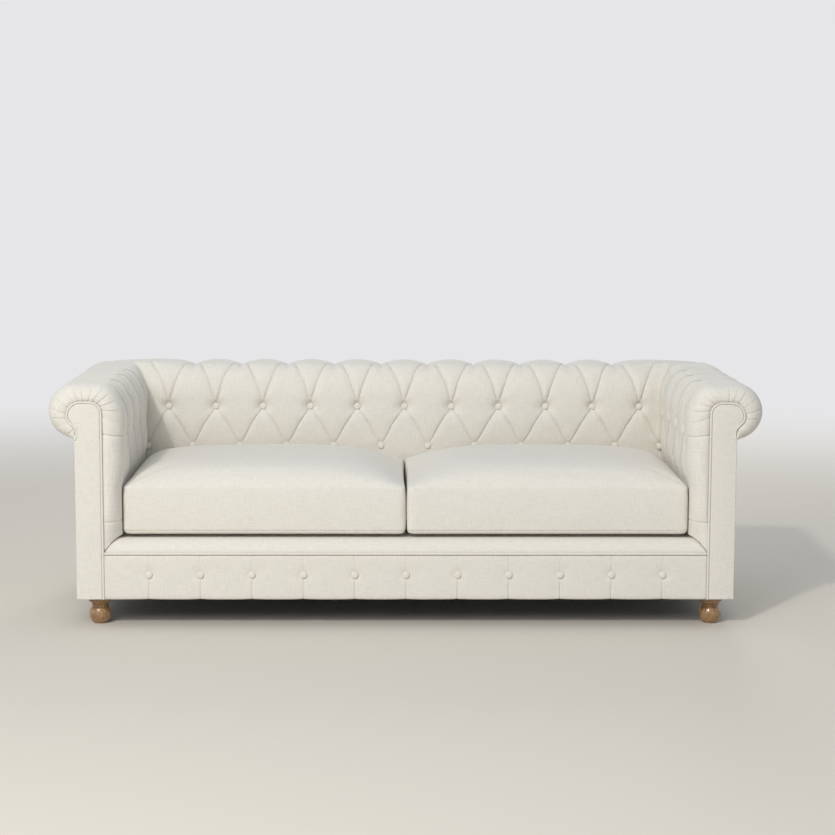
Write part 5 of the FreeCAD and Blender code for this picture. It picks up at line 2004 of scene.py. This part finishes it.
@dataclass
class Studio:
    """Camera at the photograph's view, plain floor that fades out, soft light from the upper left."""

    eye_mm: tuple[float, float, float] = (-70.0, -6558.4, 1410.3)
    tilt_deg: float = 7.06
    turn_deg: float = 0.969
    roll_deg: float = 0.196
    focal_px: float = 2000.0
    frame_px: float = 835.0
    floor_colour: str = "#DAD4C8"
    far_colour: str = "#E6E6E8"
    floor_reach: float = 30.0
    fade: tuple[float, float] = (2.6, 6.0)
    sky_colour: str = "#ECF2FD"
    sky: float = 0.535
    lamps: tuple[Lamp, ...] = (
        Lamp("window", (-4.1, -8.2, 8.0), (0.0, 0.0, 0.5), 0.7, 400.0),
        Lamp("front", (-2.0, -4.8, 3.3), (0.0, 0.0, 0.45), 2.4, 93.0),
        Lamp("rear", (1.4, 7.0, 3.0), (0.0, 0.0, 0.4), 1.8, 105.0),
    )

    def build(self) -> None:
        """Make camera, floor and light."""
        scene = bpy.context.scene
        scene.view_settings.view_transform = "Standard"
        self.camera(scene)
        self.floor()
        self.light(scene)

    def camera(self, scene: bpy.types.Scene) -> None:
        """Place the camera.

        Args:
            scene: Scene that it films.
        """
        data = bpy.data.cameras.new("camera")
        data.sensor_width = 36.0
        data.lens = self.focal_px / self.frame_px * data.sensor_width
        data.clip_end = 60.0
        camera = bpy.data.objects.new("camera", data)
        camera.location = Vector(self.eye_mm) * MM
        turn = Matrix.Rotation(math.radians(-self.turn_deg), 3, "Z")
        tilt = Matrix.Rotation(math.radians(90 - self.tilt_deg), 3, "X")
        roll = Matrix.Rotation(math.radians(self.roll_deg), 3, "Z")
        camera.rotation_euler = (turn @ tilt @ roll).to_euler()
        scene.collection.objects.link(camera)
        scene.camera = camera

    def seen(self, tree: bpy.types.NodeTree) -> bpy.types.NodeSocket:
        """Tell the rays that show the pale distance from those that only carry light.

        Args:
            tree: Node tree of the floor or the sky.

        Returns:
            Socket that is 1 for camera, glossy and transmission rays.
        """
        rays = add_node(tree, "ShaderNodeLightPath", {}).outputs
        feeds = {0: rays["Is Camera Ray"], 1: rays["Is Glossy Ray"]}
        mirrored = add_node(tree, "ShaderNodeMath", feeds, operation="MAXIMUM")
        feeds = {0: mirrored.outputs[0], 1: rays["Is Transmission Ray"]}
        return add_node(tree, "ShaderNodeMath", feeds, operation="MAXIMUM").outputs[0]

    def floor(self) -> None:
        """Make the floor, which fades into the pale distance all round."""
        reach = self.floor_reach
        mesh = bpy.data.meshes.new("floor")
        corners = [(-reach, -reach, 0), (reach, -reach, 0), (reach, reach, 0), (-reach, reach, 0)]
        mesh.from_pydata(corners, [], [[0, 1, 2, 3]])
        stage = bpy.data.objects.new("floor", mesh)
        bpy.context.scene.collection.objects.link(stage)
        material, tree, shader = new_material("studio_floor")
        feed(shader, {"Base Color": linear(self.floor_colour), "Roughness": 0.85})
        place = add_node(tree, "ShaderNodeTexCoord", {}).outputs["Object"]
        away = add_node(tree, "ShaderNodeVectorMath", {0: place}, operation="LENGTH").outputs["Value"]
        feeds = {"Value": away, "From Min": self.fade[0], "From Max": self.fade[1]}
        fade = add_node(tree, "ShaderNodeMapRange", feeds, interpolation_type="SMOOTHSTEP")
        feeds = {0: fade.outputs[0], 1: self.seen(tree)}
        share = add_node(tree, "ShaderNodeMath", feeds, operation="MULTIPLY")
        feeds = {"Color": linear(self.far_colour), "Strength": 1.0}
        pale = add_node(tree, "ShaderNodeEmission", feeds)
        feeds = {0: share.outputs[0], 1: shader.outputs[0], 2: pale.outputs[0]}
        mixed = add_node(tree, "ShaderNodeMixShader", feeds)
        feed(tree.nodes["Material Output"], {"Surface": mixed.outputs[0]})
        mesh.materials.append(material)

    def light(self, scene: bpy.types.Scene) -> None:
        """Make the lamps and the sky.

        Args:
            scene: Scene that they light.
        """
        world = bpy.data.worlds.new("studio")
        world.use_nodes = True
        tree = world.node_tree
        sky = tree.nodes["Background"]
        feed(sky, {"Color": linear(self.sky_colour), "Strength": self.sky})
        feeds = {"Color": linear(self.far_colour), "Strength": 1.0}
        pale = add_node(tree, "ShaderNodeBackground", feeds)
        feeds = {0: self.seen(tree), 1: sky.outputs[0], 2: pale.outputs[0]}
        mixed = add_node(tree, "ShaderNodeMixShader", feeds)
        feed(tree.nodes["World Output"], {"Surface": mixed.outputs[0]})
        scene.world = world
        for lamp in self.lamps:
            data = bpy.data.lights.new(lamp.name, "AREA")
            data.shape = "SQUARE"
            data.size = lamp.size
            data.energy = lamp.power
            data.color = linear(lamp.colour)[:3]
            light = bpy.data.objects.new(lamp.name, data)
            light.location = lamp.place
            ahead = Vector(lamp.aim) - Vector(lamp.place)
            light.rotation_euler = ahead.to_track_quat("-Z", "Y").to_euler()
            light.visible_camera = False
            scene.collection.objects.link(light)


def main() -> None:
    """Build the sofa's looks in order."""
    logging.basicConfig(level=logging.INFO, format="%(name)s %(message)s")
    cloth = Linen().build()
    # non-woven polypropylene: dull black, faintly dimpled
    black = Woven("spunbond_cloth", "#232323", "#161616", 1.6).build()
    Studio().build()
    Carcass().build()
    BackPadding("back_padding", "back_pad", 11.0).build(cloth)
    for side in Side:
        name = f"{side.label}_arm_padding"
        ArmPadding(name, f"{side.label}_arm_pad", 31.0 + 7 * side.value, side=side).build(cloth)
        Facing(side).build(cloth)
        Cushion(side).build(cloth)
    Buttons().build(cloth)
    FrontBorder().build(cloth)
    Deck().build(cloth)
    OutsideCovers().build(cloth, black)


if __name__ == "__main__":
    main()
